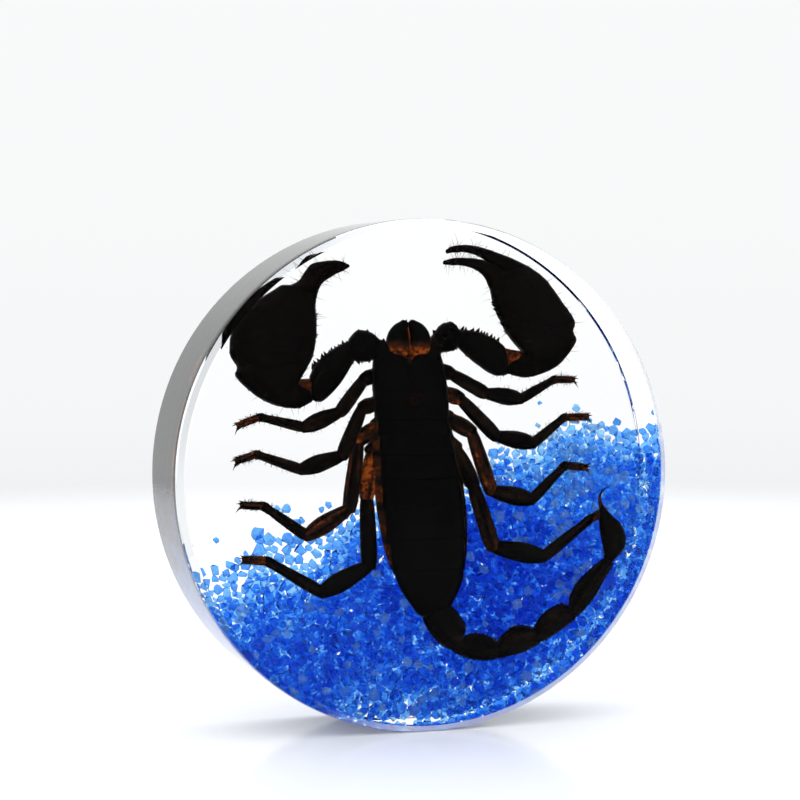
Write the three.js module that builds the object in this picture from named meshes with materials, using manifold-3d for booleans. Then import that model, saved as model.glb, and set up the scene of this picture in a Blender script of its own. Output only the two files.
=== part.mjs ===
import * as THREE from "three";
import { mergeVertices } from "three/addons/utils/BufferGeometryUtils.js";
import Module from "manifold-3d";

const wasm = await Module();
wasm.setup();

// Clear disc: it stands on its rim, its axis lies along Y and its front looks to -Y.
const DISC_RADIUS = 40;
const DISC_THICKNESS = 19;
const EDGE_ROUND = 1.6;
const FLAT_DEPTH = 0.3;
const DISC_SEGMENTS = 72;
const EDGE_STEPS = 2;
const FRONT_Y = -DISC_THICKNESS / 2;
const BACK_Y = DISC_THICKNESS / 2;
const CENTRE_Z = DISC_RADIUS - FLAT_DEPTH;

// The disc is parted at the middle of the limbs, and the pocket clears the animal all round.
const PARTING_Y = -1.5;
const POCKET_GAP = 0.4;
const ARM_POCKET_GAP = 0.85;

// Granule bed: it fills the back of the disc below its top edge.
const BED_RADIUS = 38.8;
const BED_BACK_Y = 8.7;
const BED_FRONT_Y = 2.1;
const BED_EDGE_THICKNESS = 1.7;
const BED_LUMP = 0.2;
const BED_GAP = 0.5;
const BED_ROWS = 6;

// Facets round a section.
const BODY_SIDES = 12;
const LIMB_SIDES = 6;
const ARM_SIDES = 8;
const HAND_SIDES = 10;
const TAIL_SIDES = 12;
const BOX_SIDES = 4;

// The animal is laid out in the plane of the disc: x to the right and z up from the disc's centre.
// Body: x of the middle, z, half width, rise of the back, fall of the belly.
const CARAPACE = [
  [-2.15, 19.7, 4.3, 1.6, 2.0],
  [-2.1, 18.7, 5.4, 2.7, 2.6],
  [-1.8, 15, 6.0, 3.7, 3.0],
  [-1.55, 12, 6.1, 4.1, 3.1],
  [-1.35, 8.8, 6.05, 4.2, 3.1],
];
// Rear edges of the plates behind the carapace.
const PLATES = [
  [-1.0, 6.2, 6.15, 4.3, 3.1],
  [-0.6, 3.2, 6.4, 4.4, 3.1],
  [-0.15, -0.6, 6.7, 4.4, 3.1],
  [0.4, -5.1, 6.8, 4.4, 3.1],
  [0.85, -10, 6.6, 4.2, 3.0],
  [1.35, -15, 6.0, 3.6, 2.8],
];
const LAST_PLATE = [
  [1.65, -18.3, 4.6, 2.9, 2.4],
  [1.9, -21.9, 2.7, 2.0, 1.9],
];
const PLATE_STEP = 0.35;
const PLATE_LIP = 0.45;
const EYES = [
  [-1.15, 12],
  [0.05, 12],
];
const EYE_RADIUS = 0.5;

// Jaws in front of the carapace: x, z, half width.
const JAWS = [
  [
    [-3.7, 17.8, 1.65],
    [-3.95, 20.6, 1.8],
    [-3.55, 22.6, 1.4],
    [-2.75, 23.8, 0.6],
  ],
  [
    [-0.25, 17.8, 1.65],
    [-0.1, 20.6, 1.75],
    [-0.55, 22.6, 1.35],
    [-1.45, 23.8, 0.6],
  ],
];
const JAW_Y = -2.1;

// Arms and hands as ribs from the inner to the outer edge: x, z, x, z, half depth.
const ARMS = [
  {
    limb: [
      [-4.6, 20.4, -4.9, 16.4, 1.6],
      [-6.9, 21.4, -7.2, 18.3, 1.5],
      [-8.4, 22.4, -8.4, 17.9, 1.9],
      [-10.2, 22.6, -9.8, 17.8, 1.9],
      [-11.2, 21.3, -10.9, 18.3, 1.4],
      [-12.5, 20.7, -11.5, 16.8, 1.8],
      [-15.0, 19.2, -13.4, 14.1, 2.2],
      [-17.0, 17.4, -15.9, 11.9, 2.1],
      [-17.6, 16.1, -17.3, 12.0, 1.5],
      [-18.0, 15.3, -18.0, 12.9, 1.1],
      [-19.6, 15.2, -19.6, 12.7, 1.2],
    ],
    hand: [
      [-18.7, 14.6, -17.7, 11.9, 1.1],
      [-19.7, 15.0, -20.4, 10.8, 1.9],
      [-18.7, 16.4, -25.2, 12.1, 2.7],
      [-17.6, 18.3, -29.4, 15.6, 3.2],
      [-17.15, 19.8, -29.4, 17.3, 3.3],
      [-16.9, 21.6, -30.5, 19.4, 3.3],
      [-16.8, 24.0, -29.9, 23.2, 3.1],
      [-17.0, 26.4, -26.6, 27.0, 2.7],
      [-16.6, 28.4, -22.4, 29.7, 2.1],
    ],
    fingers: [
      [
        [-16.9, 27.4, -21.4, 29.6, 1.5],
        [-16.0, 29.4, -19.4, 30.4, 1.5],
        [-15.0, 30.6, -17.9, 32.0, 1.3],
        [-13.7, 31.4, -15.9, 33.0, 1.1],
        [-12.6, 31.95, -13.4, 33.3, 0.8],
        [-11.7, 32.5, -11.8, 32.9, 0.25],
      ],
    ],
    wristPocket: [
      [-17.6, 17.4, -17.0, 11.6, 1.6],
      [-22.4, 17.0, -22.0, 10.9, 2.9],
    ],
    fingerPocket: [
      [-16.4, 28.6, -22.3, 29.8, 2.1],
      [-15.0, 30.3, -18.8, 32.2, 1.6],
      [-13.3, 31.3, -15.2, 33.9, 1.3],
      [-11.2, 32.0, -11.4, 33.6, 0.9],
    ],
    palmSpines: [
      [-17.0, 20.4],
      [-16.7, 27.9],
    ],
    armSpines: [
      [-12.0, 20.9],
      [-17.1, 17.2],
    ],
    spineLean: [1, 0.5],
  },
  {
    limb: [
      [0.6, 20.6, 1.0, 16.8, 1.6],
      [2.3, 21.9, 2.8, 19.2, 1.5],
      [3.4, 23.4, 4.0, 19.2, 1.9],
      [5.2, 23.8, 5.4, 19.5, 1.9],
      [6.0, 22.5, 6.2, 20.2, 1.4],
      [7.6, 22.5, 7.2, 19.0, 1.8],
      [10.2, 22.0, 9.4, 17.2, 2.2],
      [12.6, 20.9, 12.2, 15.6, 2.1],
      [13.7, 20.1, 14.2, 15.5, 1.5],
      [14.6, 19.4, 14.9, 16.6, 1.1],
      [16.4, 19.0, 16.6, 16.3, 1.2],
    ],
    hand: [
      [15.7, 18.6, 14.5, 15.7, 1.1],
      [17.0, 19.2, 18.0, 15.1, 1.9],
      [15.8, 20.2, 22.8, 16.8, 2.7],
      [14.2, 22.2, 26.0, 20.4, 3.2],
      [13.6, 23.4, 25.6, 22.2, 3.3],
      [12.9, 24.8, 25.8, 24.0, 3.3],
      [12.0, 27.0, 23.4, 27.4, 3.1],
      [11.7, 29.2, 20.6, 30.8, 2.6],
      [12.2, 31.0, 18.0, 32.5, 1.9],
    ],
    fingers: [
      [
        [14.2, 30.8, 18.6, 32.2, 1.3],
        [12.4, 32.4, 15.4, 33.7, 1.2],
        [9.6, 34.15, 10.8, 35.3, 0.95],
        [7.6, 34.75, 7.9, 35.85, 0.8],
        [5.8, 34.85, 5.6, 35.65, 0.6],
        [4.45, 34.75, 4.3, 35.05, 0.2],
      ],
      [
        [11.6, 28.8, 15.0, 31.6, 1.4],
        [10.6, 31.1, 12.6, 33.0, 1.2],
        [8.8, 32.25, 9.6, 33.75, 0.95],
        [6.8, 32.75, 7.0, 33.95, 0.8],
        [5.2, 32.9, 5.3, 33.8, 0.6],
        [3.9, 33.05, 3.95, 33.35, 0.2],
      ],
    ],
    wristPocket: [
      [14.2, 20.9, 14.0, 15.6, 1.6],
      [19.6, 20.8, 19.6, 15.3, 2.9],
    ],
    fingerPocket: [
      [11.4, 29.0, 19.4, 31.9, 2.1],
      [9.7, 31.5, 13.4, 34.7, 1.6],
      [6.6, 32.5, 8.2, 36.1, 1.3],
      [3.4, 32.6, 3.5, 35.5, 0.9],
    ],
    palmSpines: [
      [14.6, 21.6],
      [11.7, 29.4],
    ],
    armSpines: [
      [7.0, 22.6],
      [12.6, 21.0],
    ],
    spineLean: [-1, 0.5],
  },
];
const ARM_Y = -1.6;
const PALM_SPINES = 8;
const ARM_SPINES = 6;
const SPINE_LENGTH = 0.8;

// Legs: coxa, hip, trochanter, femur, patella, tibia and tarsus ends as x, z, and the girth.
const LEG_Y = [-0.1, -0.4, -1.0, -2.1, -1.9, -1.4, -1.2];
const LEGS = [
  {
    joints: [
      [-3.2, 15.7],
      [-7.0, 15.8],
      [-9.1, 15.0],
      [-13.1, 10.1],
      [-18.9, 7.8],
      [-25.8, 9.5],
      [-29, 8.4],
    ],
    girth: 0.95,
  },
  {
    joints: [
      [-2.9, 13.4],
      [-6.9, 11.3],
      [-9.4, 10.6],
      [-12.8, 3.3],
      [-19.4, 1.3],
      [-26.4, 3.8],
      [-29.3, 2.9],
    ],
    girth: 1,
  },
  {
    joints: [
      [-2.6, 11],
      [-6.8, 7.7],
      [-10, 5.6],
      [-11.7, -5],
      [-18.6, -9],
      [-25.3, -4.2],
      [-28.5, -4],
    ],
    girth: 1.06,
  },
  {
    joints: [
      [-2.3, 8.6],
      [-7.6, 3.6],
      [-8.7, -3.2],
      [-8.5, -14],
      [-16.2, -17.9],
      [-24.8, -12.7],
      [-28.2, -12.4],
    ],
    girth: 1.14,
  },
  {
    joints: [
      [-0.8, 16],
      [3.4, 16.4],
      [5.2, 15.7],
      [10.6, 12.6],
      [16.7, 11.6],
      [22.5, 14.6],
      [25.6, 14.5],
    ],
    girth: 0.95,
  },
  {
    joints: [
      [-0.5, 13.7],
      [4.1, 12.8],
      [6.7, 11.8],
      [12.4, 5.8],
      [18.8, 4.5],
      [24.2, 8.5],
      [28, 8.5],
    ],
    girth: 1,
  },
  {
    joints: [
      [-0.2, 11.3],
      [4.8, 8.7],
      [8.6, 6.5],
      [11.6, -2.9],
      [18.5, -4.5],
      [24.3, 0.8],
      [27.8, 0.4],
    ],
    girth: 1.06,
  },
  {
    joints: [
      [0.1, 8.9],
      [6.0, 3.8],
      [8.8, -1.8],
      [11.9, -11.8],
      [20.6, -13.7],
      [28.6, -8],
      [31.0, -6.9],
    ],
    girth: 1.14,
  },
];
// Half widths along each leg segment: share of its length, millimetres at girth 1.
const LEG_PROFILES = [
  [
    [0, 1.1],
    [1, 1.05],
  ],
  [
    [0.5, 1.2],
    [1, 0.85],
  ],
  [
    [0.25, 1.1],
    [0.8, 1.12],
    [1, 0.82],
  ],
  [
    [0.25, 1.2],
    [0.6, 1.36],
    [1, 0.78],
  ],
  [
    [0.15, 0.84],
    [0.8, 0.64],
    [1, 0.48],
  ],
  [
    [0.4, 0.54],
    [1, 0.3],
  ],
];
const LEG_POCKET = [1.2, 1.3, 1.3, 1.45, 1.35, 0.95, 0.75];
const CLAW_LENGTH = 0.9;

// Tail: joints as x, z, then the half width at the swell of each segment.
const TAIL_JOINTS = [
  [2.1, -21.2],
  [5.4, -26.1],
  [11.9, -28.2],
  [18.6, -26.5],
  [25.2, -22.7],
  [31.7, -14.7],
];
const TAIL_SWELL = [2.65, 2.2, 2.2, 2.2, 2.45];
const TAIL_NECK = 1.5;
const TAIL_ROOT = 2.3;
const TAIL_KEEL = 0.08;
const TELSON = [
  [31.0, -15.1, 32.9, -14.6, 0.9],
  [31.0, -13.2, 34.3, -13.2, 1.7],
  [30.5, -10.9, 34.8, -11.3, 2.0],
  [30.2, -8.5, 34.0, -9.0, 1.7],
  [30.15, -7.1, 32.2, -7.3, 0.9],
  [30.25, -5.9, 31.0, -5.9, 0.4],
];
const STING = [
  [30.65, -6.3, 0.42],
  [30.3, -4.6, 0.26],
  [30.7, -3.6, 0.18],
  [31.6, -2.9, 0.1],
];

// Top edge of the granules from the left rim to the right rim: x, z, height of the thinning slope.
const BED_TOP = [
  [-34.6, -14.6, 13],
  [-31, -16, 13],
  [-29, -14, 13],
  [-27.2, -12, 14],
  [-25, -9.8, 15],
  [-22, -9.4, 15],
  [-19, -9.8, 14],
  [-16, -9.6, 13],
  [-12.5, -8.2, 12],
  [-9, -5.4, 10],
  [-3, -3.8, 7],
  [4, -3.6, 6],
  [9.5, -3.2, 6],
  [12.5, 1.8, 8],
  [15, 3.5, 8],
  [18, 2.6, 8],
  [22, 4.2, 8],
  [25.5, 7.6, 8],
  [30, 8.3, 8],
  [34, 6.4, 8],
  [37.4, 5.6, 8],
];
const BED_LEFT_ANGLE = 206;
const BED_RIGHT_ANGLE = 365;

const SLOT_COLOURS = {
  resin: { color: 0xf4f9fb, roughness: 0.05, opacity: 0.3, transparent: true },
  cuticle: { color: 0x15100c, roughness: 0.35 },
  granules: { color: 0x2f6fd0, roughness: 0.4 },
};

// A three.js geometry as a closed solid, without the slivers that merge to a line.
function solid(geometry) {
  const bare = new THREE.BufferGeometry();
  bare.setAttribute("position", geometry.getAttribute("position"));
  bare.setIndex(geometry.index);
  const merged = mergeVertices(bare, 1e-4);
  const corners = merged.index.array;
  const kept = [];
  for (let i = 0; i < corners.length; i += 3) {
    const [a, b, c] = [corners[i], corners[i + 1], corners[i + 2]];
    if (a !== b && b !== c && c !== a) kept.push(a, b, c);
  }
  return new wasm.Manifold(
    new wasm.Mesh({
      numProp: 3,
      vertProperties: merged.getAttribute("position").array,
      triVerts: new Uint32Array(kept),
    }),
  );
}

// Six times the volume that a list of triangles encloses.
function signedVolume(points, index) {
  let sum = 0;
  for (let i = 0; i < index.length; i += 3) {
    const [a, b, c] = [points[index[i]], points[index[i + 1]], points[index[i + 2]]];
    sum += a.dot(new THREE.Vector3().crossVectors(b, c));
  }
  return sum;
}

// A closed solid from points and triangles, turned to face out.
function closed(points, index) {
  if (signedVolume(points, index) < 0) index.reverse();
  const geometry = new THREE.BufferGeometry().setFromPoints(points);
  geometry.setIndex(index);
  return solid(geometry);
}

// A skin over rings of equal length with a flat cap at each end.
function skin(rings) {
  const count = rings[0].length;
  const index = [];
  for (let i = 0; i + 1 < rings.length; i++) {
    for (let j = 0; j < count; j++) {
      const a = i * count + j;
      const b = i * count + ((j + 1) % count);
      index.push(a, b, a + count, b, b + count, a + count);
    }
  }
  const last = (rings.length - 1) * count;
  for (let j = 1; j + 1 < count; j++) {
    index.push(0, j + 1, j, last, last + j, last + j + 1);
  }
  return closed(rings.flat(), index);
}

// One section across a limb: side is its half width in the plane of the disc.
function ring(station, sides, ridge = 0) {
  const points = [];
  const reach = 1 / Math.cos(Math.PI / sides);
  for (let j = 0; j < sides; j++) {
    const turn = (2 * Math.PI * (j + 0.5)) / sides;
    const swell = j % 2 ? 1 - ridge : 1;
    const rise = Math.sin(turn) > 0 ? station.front : station.back;
    const across = reach * swell * Math.cos(turn);
    points.push(
      new THREE.Vector3(
        station.x + station.side.x * across,
        station.y - rise * swell * Math.sin(turn),
        station.z + station.side.y * across,
      ),
    );
  }
  return points;
}

// A station with its half width and depths grown, its facets set outside the true section.
function grown(station, gap, sides) {
  const out = 1 / Math.cos(Math.PI / sides);
  const width = station.side.length();
  return {
    ...station,
    side: station.side.clone().setLength(width + gap),
    front: (station.front + gap) * out,
    back: (station.back + gap) * out,
  };
}

// Moves the end stations of a row outwards.
function lengthened(stations, by) {
  const row = stations.map((s) => ({ ...s }));
  const pairs = [
    [row[0], row[1]],
    [row[row.length - 1], row[row.length - 2]],
  ];
  for (const [end, next] of pairs) {
    const away = new THREE.Vector2(end.x - next.x, end.z - next.z).setLength(by);
    end.x += away.x;
    end.z += away.y;
  }
  return row;
}

function loft(stations, sides, ridge = 0) {
  return skin(stations.map((s) => ring(s, sides, ridge)));
}

// The same row as a pocket: larger by the gap on every side.
function pocketLoft(stations, sides = BOX_SIDES, gap = POCKET_GAP) {
  const row = lengthened(stations, gap);
  return skin(row.map((s) => ring(grown(s, gap, sides), sides)));
}

// Stations of a body row, which runs down the disc.
function bodyRow(rows) {
  return rows.map(([x, z, half, front, back]) => ({
    x,
    y: PARTING_Y,
    z,
    side: new THREE.Vector2(half, 0),
    front,
    back,
  }));
}

// Stations from pairs of edge points.
function ribRow(ribs, y = ARM_Y) {
  return ribs.map(([x1, z1, x2, z2, depth]) => ({
    x: (x1 + x2) / 2,
    y,
    z: (z1 + z2) / 2,
    side: new THREE.Vector2(x2 - x1, z2 - z1).multiplyScalar(0.5),
    front: depth,
    back: depth,
  }));
}

// Stations along a middle line of x, y, z points, square to it and mitred at its bends.
function spineRow(points, halves) {
  return points.map(([x, y, z], i) => {
    const before = points[Math.max(i - 1, 0)];
    const after = points[Math.min(i + 1, points.length - 1)];
    const into = new THREE.Vector2(x - before[0], z - before[2]).normalize();
    const out = new THREE.Vector2(after[0] - x, after[2] - z).normalize();
    const along = into.clone().add(out).normalize();
    const bend = i > 0 && i + 1 < points.length ? along.dot(out) : 1;
    return {
      x,
      y,
      z,
      side: new THREE.Vector2(-along.y, along.x).setLength(halves[i] / Math.max(bend, 0.6)),
      front: halves[i],
      back: halves[i],
    };
  });
}

// One middle line through joints, with the half widths of each segment's profile.
function limbRow(joints, profiles, girth) {
  const points = [];
  const halves = [];
  profiles.forEach((profile, i) => {
    const a = new THREE.Vector3(...joints[i]);
    const b = new THREE.Vector3(...joints[i + 1]);
    for (const [share, half] of profile) {
      points.push(a.clone().lerp(b, share).toArray());
      halves.push(half * girth);
    }
  });
  return spineRow(points, halves);
}

function at3([x, z], y) {
  return [x, y, z];
}

// Four-sided spines along a line, leaning out of the edge.
function spines([from, to], count, lean, y) {
  const made = [];
  for (let i = 0; i < count; i++) {
    const share = i / (count - 1);
    const foot = new THREE.Vector2(...from).lerp(new THREE.Vector2(...to), share);
    const way = new THREE.Vector2(...lean).normalize();
    const cone = new THREE.ConeGeometry(0.26, SPINE_LENGTH, 4, 1);
    cone.rotateX(Math.PI / 2);
    cone.rotateY(Math.atan2(way.x, way.y));
    cone.translate(foot.x, y, foot.y);
    made.push(solid(cone));
  }
  return made;
}

// The rows of the trunk: behind each rear edge the next plate starts a step lower.
function trunkRows() {
  const rows = [...CARAPACE];
  const stepDown = ([x, z, half, rise, fall]) => [
    x,
    z - PLATE_LIP,
    half - PLATE_STEP,
    rise - PLATE_STEP,
    fall - PLATE_STEP / 2,
  ];
  rows.push(stepDown(CARAPACE[CARAPACE.length - 1]));
  for (const plate of PLATES) rows.push(plate, stepDown(plate));
  rows.push(...LAST_PLATE);
  return rows;
}

function trunk() {
  const notch = new THREE.CylinderGeometry(0.9, 0.9, 6, 3);
  notch.rotateY(Math.PI);
  notch.scale(1, 1, 1.7);
  notch.translate(-1.9, -6, 19.1);
  const shield = loft(bodyRow(trunkRows()), BODY_SIDES).subtract(solid(notch));
  const eyes = EYES.map(([x, z]) => {
    const eye = new THREE.SphereGeometry(EYE_RADIUS, 6, 4);
    eye.translate(x, PARTING_Y - CARAPACE[3][3], z);
    return solid(eye);
  });
  const jaws = JAWS.map((rows) => {
    const points = rows.map(([x, z]) => [x, JAW_Y, z]);
    const halves = rows.map((row) => row[2]);
    return loft(spineRow(points, halves), ARM_SIDES);
  });
  return [shield, ...eyes, ...jaws];
}

function arm(data) {
  return [
    loft(ribRow(data.limb), ARM_SIDES),
    loft(ribRow(data.hand), HAND_SIDES),
    ...data.fingers.map((ribs) => loft(ribRow(ribs), ARM_SIDES)),
    ...spines(data.palmSpines, PALM_SPINES, data.spineLean, ARM_Y - 0.4),
    ...spines(data.armSpines, ARM_SPINES, [-data.spineLean[0] * 0.6, 1], ARM_Y - 0.4),
  ];
}

function leg({ joints, girth }) {
  const points = joints.map((p, i) => at3(p, LEG_Y[i]));
  const made = [loft(limbRow(points, LEG_PROFILES, girth), LIMB_SIDES)];
  const tip = new THREE.Vector3(...points[6]);
  const way = tip.clone().sub(new THREE.Vector3(...points[5])).normalize();
  for (const fork of [-0.5, 0.5]) {
    const aim = new THREE.Vector3(way.x - fork * way.z, 0, way.z + fork * way.x).normalize();
    const cone = new THREE.ConeGeometry(0.17, CLAW_LENGTH, 4, 1);
    cone.applyQuaternion(new THREE.Quaternion().setFromUnitVectors(new THREE.Vector3(0, 1, 0), aim));
    const middle = tip.clone().addScaledVector(aim, CLAW_LENGTH / 2);
    cone.translate(middle.x, middle.y, middle.z);
    made.push(solid(cone));
  }
  return made;
}

function tail() {
  const points = TAIL_JOINTS.map((p) => at3(p, PARTING_Y));
  const profiles = TAIL_SWELL.map((swell, i) => [
    ...(i ? [] : [[0, TAIL_ROOT]]),
    [0.25, swell * 0.92],
    [0.75, swell],
    [1, TAIL_NECK],
  ]);
  const rings = limbRow(points, profiles, 1);
  return [
    loft(rings, TAIL_SIDES, TAIL_KEEL),
    loft(ribRow(TELSON, PARTING_Y), 10),
    loft(stingRow(1), 6),
  ];
}

function stingRow(girth) {
  return spineRow(
    STING.map(([x, z]) => [x, PARTING_Y, z]),
    STING.map((row) => row[2] * girth),
  );
}

function scorpion() {
  const pieces = [...trunk(), ...ARMS.flatMap(arm), ...LEGS.flatMap(leg), ...tail()];
  return wasm.Manifold.union(pieces);
}

// The hollow that the animal fills: plain boxes and prisms that clear its limbs.
const TRUNK_POCKET = [
  [-2.1, 24.3, 2.6, 1.8, 1.6],
  [-2.1, 21.5, 4.4, 2.4, 1.8],
  [-2.0, 18.6, 5.8, 3.2, 2.8],
  [-1.5, 12, 6.3, 4.8, 3.1],
  [-0.3, 1, 6.9, 4.6, 3.1],
  [0.7, -8.5, 7.0, 4.5, 3.1],
  [1.4, -15.4, 6.3, 3.9, 2.9],
  [1.9, -21.8, 3.2, 2.3, 2.1],
];
const TAIL_POCKET = [2.5, 2.8, 2.4, 2.4, 2.65, 2.5];

function scorpionPocket() {
  const made = [pocketLoft(bodyRow(TRUNK_POCKET), 8)];
  for (const { limb, hand, wristPocket, fingerPocket } of ARMS) {
    made.push(pocketLoft(ribRow(limb), BOX_SIDES, ARM_POCKET_GAP));
    made.push(pocketLoft(ribRow(hand), 6, ARM_POCKET_GAP));
    made.push(pocketLoft(ribRow(wristPocket)));
    made.push(pocketLoft(ribRow(fingerPocket)));
  }
  for (const { joints, girth } of LEGS) {
    const points = joints.map((p, i) => at3(p, LEG_Y[i]));
    const halves = LEG_POCKET.map((half) => half * girth);
    made.push(pocketLoft(lengthened(spineRow(points, halves), CLAW_LENGTH)));
  }
  const tailPoints = TAIL_JOINTS.map((p) => at3(p, PARTING_Y));
  made.push(pocketLoft(spineRow(tailPoints, TAIL_POCKET)));
  made.push(pocketLoft(ribRow(TELSON, PARTING_Y)));
  made.push(pocketLoft(stingRow(1.5)));
  return wasm.Manifold.union(made);
}

// A repeatable number from -1 to 1 for a grid point.
function lump(i, j) {
  const wave = Math.sin(12.9898 * i + 78.233 * j) * 43758.5453;
  return 2 * (wave - Math.floor(wave)) - 1;
}

// The foot of the bed on the rim and its top edge at one column, with the slope's height.
function bedColumn(i, gap) {
  const share = i / (BED_TOP.length - 1);
  const degrees = THREE.MathUtils.lerp(BED_LEFT_ANGLE, BED_RIGHT_ANGLE, share);
  const angle = THREE.MathUtils.degToRad(degrees);
  const low = new THREE.Vector2(Math.cos(angle), Math.sin(angle));
  low.multiplyScalar(BED_RADIUS + gap);
  const [x, z, slope] = BED_TOP[i];
  const high = new THREE.Vector2(x, z);
  const height = high.distanceTo(low);
  high.addScaledVector(high.clone().sub(low).normalize(), gap);
  return { low, high, height, slope };
}

// The bed as two sheets over a grid that runs from the rim up to the top edge.
function bed(gap, lumpSize) {
  const points = [];
  const columns = BED_TOP.length - 1;
  const rows = BED_ROWS;
  const full = BED_BACK_Y - BED_FRONT_Y;
  const row = BED_TOP.map((_, i) => bedColumn(i, gap));
  for (const [end, next] of [[row[0], row[1]], [row[columns], row[columns - 1]]]) {
    const away = end.high.clone().sub(next.high).normalize().multiplyScalar(gap);
    end.low.add(away);
    end.high.add(away);
  }
  row.forEach(({ low, high, height, slope }, i) => {
    for (let j = 0; j <= rows; j++) {
      const up = 1 - (1 - j / rows) ** 1.3;
      const p = low.clone().lerp(high, up);
      const fade = THREE.MathUtils.smoothstep((1 - up) * height, 0, slope);
      const thick = BED_EDGE_THICKNESS + (full - BED_EDGE_THICKNESS) * fade;
      const edge = i === 0 || i === columns || j === 0 || j === rows;
      const front = BED_BACK_Y - thick + (edge ? 0 : lumpSize * lump(i, j));
      points.push(new THREE.Vector3(p.x, front - gap, p.y));
      points.push(new THREE.Vector3(p.x, BED_BACK_Y + gap, p.y));
    }
  });
  const index = [];
  const at = (i, j, back) => 2 * (i * (rows + 1) + j) + back;
  const quad = (a, b, c, d) => index.push(a, b, c, a, c, d);
  for (let i = 0; i < columns; i++) {
    for (let j = 0; j < rows; j++) {
      quad(at(i, j, 0), at(i + 1, j, 0), at(i + 1, j + 1, 0), at(i, j + 1, 0));
      quad(at(i, j, 1), at(i, j + 1, 1), at(i + 1, j + 1, 1), at(i + 1, j, 1));
    }
    quad(at(i, 0, 0), at(i, 0, 1), at(i + 1, 0, 1), at(i + 1, 0, 0));
    quad(at(i, rows, 0), at(i + 1, rows, 0), at(i + 1, rows, 1), at(i, rows, 1));
  }
  for (let j = 0; j < rows; j++) {
    quad(at(0, j, 0), at(0, j + 1, 0), at(0, j + 1, 1), at(0, j, 1));
    quad(at(columns, j, 0), at(columns, j, 1), at(columns, j + 1, 1), at(columns, j + 1, 0));
  }
  return closed(points, index);
}

// One half of the disc, turned about Y, with the rounded edge at its outer face.
function discHalf(outerY, innerY) {
  const inward = Math.sign(innerY - outerY);
  const profile = [new THREE.Vector2(0, outerY)];
  for (let i = 0; i <= EDGE_STEPS; i++) {
    const turn = ((i / EDGE_STEPS) * Math.PI) / 2;
    const r = DISC_RADIUS - EDGE_ROUND * (1 - Math.sin(turn));
    const y = outerY + inward * EDGE_ROUND * (1 - Math.cos(turn));
    profile.push(new THREE.Vector2(r, y));
  }
  profile.push(new THREE.Vector2(DISC_RADIUS, innerY));
  profile.push(new THREE.Vector2(0, innerY));
  if (inward < 0) profile.reverse();
  const turned = solid(new THREE.LatheGeometry(profile, DISC_SEGMENTS));
  const ground = new THREE.BoxGeometry(60, 60, 10);
  ground.translate(0, 0, -CENTRE_Z - 5);
  return turned.subtract(solid(ground));
}

function addNode(group, name, shape, slot) {
  const cut = shape.getMesh();
  const geometry = new THREE.BufferGeometry();
  geometry.setAttribute("position", new THREE.BufferAttribute(cut.vertProperties, 3));
  geometry.setIndex(new THREE.BufferAttribute(cut.triVerts, 1));
  geometry.translate(0, 0, CENTRE_Z);
  geometry.computeVertexNormals();
  const mesh = new THREE.Mesh(geometry, new THREE.MeshStandardMaterial(SLOT_COLOURS[slot]));
  mesh.name = name;
  group.add(mesh);
}

const animal = scorpion();
const hollow = scorpionPocket();
const granules = bed(0, BED_LUMP);
const bedHollow = bed(BED_GAP, 0);

const part = new THREE.Group();
part.name = "scorpion_in_resin_disc";
addNode(part, "resin_front", discHalf(FRONT_Y, PARTING_Y).subtract(hollow), "resin");
addNode(part, "resin_back", discHalf(BACK_Y, PARTING_Y).subtract(hollow).subtract(bedHollow), "resin");
addNode(part, "scorpion", animal, "cuticle");
addNode(part, "blue_granules", granules, "granules");

export default part;
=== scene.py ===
import math
from dataclasses import dataclass

import bmesh
import bpy
import numpy as np
from mathutils import Matrix, Vector, kdtree, noise


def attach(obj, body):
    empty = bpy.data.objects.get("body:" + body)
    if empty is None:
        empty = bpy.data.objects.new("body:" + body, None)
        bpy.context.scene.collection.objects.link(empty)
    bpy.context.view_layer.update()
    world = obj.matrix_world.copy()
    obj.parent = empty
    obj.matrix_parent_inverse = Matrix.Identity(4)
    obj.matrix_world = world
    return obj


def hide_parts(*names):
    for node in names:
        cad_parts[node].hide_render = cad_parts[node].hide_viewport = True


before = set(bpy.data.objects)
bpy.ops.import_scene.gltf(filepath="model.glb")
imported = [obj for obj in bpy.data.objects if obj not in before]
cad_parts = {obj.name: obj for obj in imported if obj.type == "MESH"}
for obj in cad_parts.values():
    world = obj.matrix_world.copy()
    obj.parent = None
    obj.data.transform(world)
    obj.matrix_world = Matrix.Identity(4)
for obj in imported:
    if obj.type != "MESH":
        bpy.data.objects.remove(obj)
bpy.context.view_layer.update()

# Lengths are millimetres about the disc's centre: x right, y to the back, z up.
MM = 0.001
DISC_RADIUS = 40.0
DISC_THICKNESS = 19.0
# Edge rows from the face to the rim: inset from the rim, depth from the face.
FRONT_BEVEL = [(1.4, 0.0), (1.15, 0.14), (0.25, 0.62), (0.08, 1.2), (0.0, 2.2)]
SATIN_ROW = 1
# The ground strip is polished about one angle, in degrees from the bottom to the right.
POLISHED_MIDDLE = 272.0
POLISHED_HALF = 62.0
POLISHED_FADE = 20.0
BACK_BEVEL = [(0.45, 0.0), (0.2, 0.12), (0.06, 0.32), (0.0, 0.6)]
FLAT_DEPTH = 0.3
CENTRE_Z = DISC_RADIUS - FLAT_DEPTH
DISC_SEGMENTS = 288
BODY_Y = -1.5

# Camera from the photograph: turn to the left, rise, distance to the front face, and aim.
CAMERA_TURN = 18.11
CAMERA_RISE = 4.84
CAMERA_DISTANCE = 354.2
CAMERA_YAW = 0.76
CAMERA_PITCH = 1.93
CAMERA_ROLL = 0.08
CAMERA_LENS = 102.92
CAMERA_SENSOR = 36.0
CAMERA_CLIP = 0.01

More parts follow.
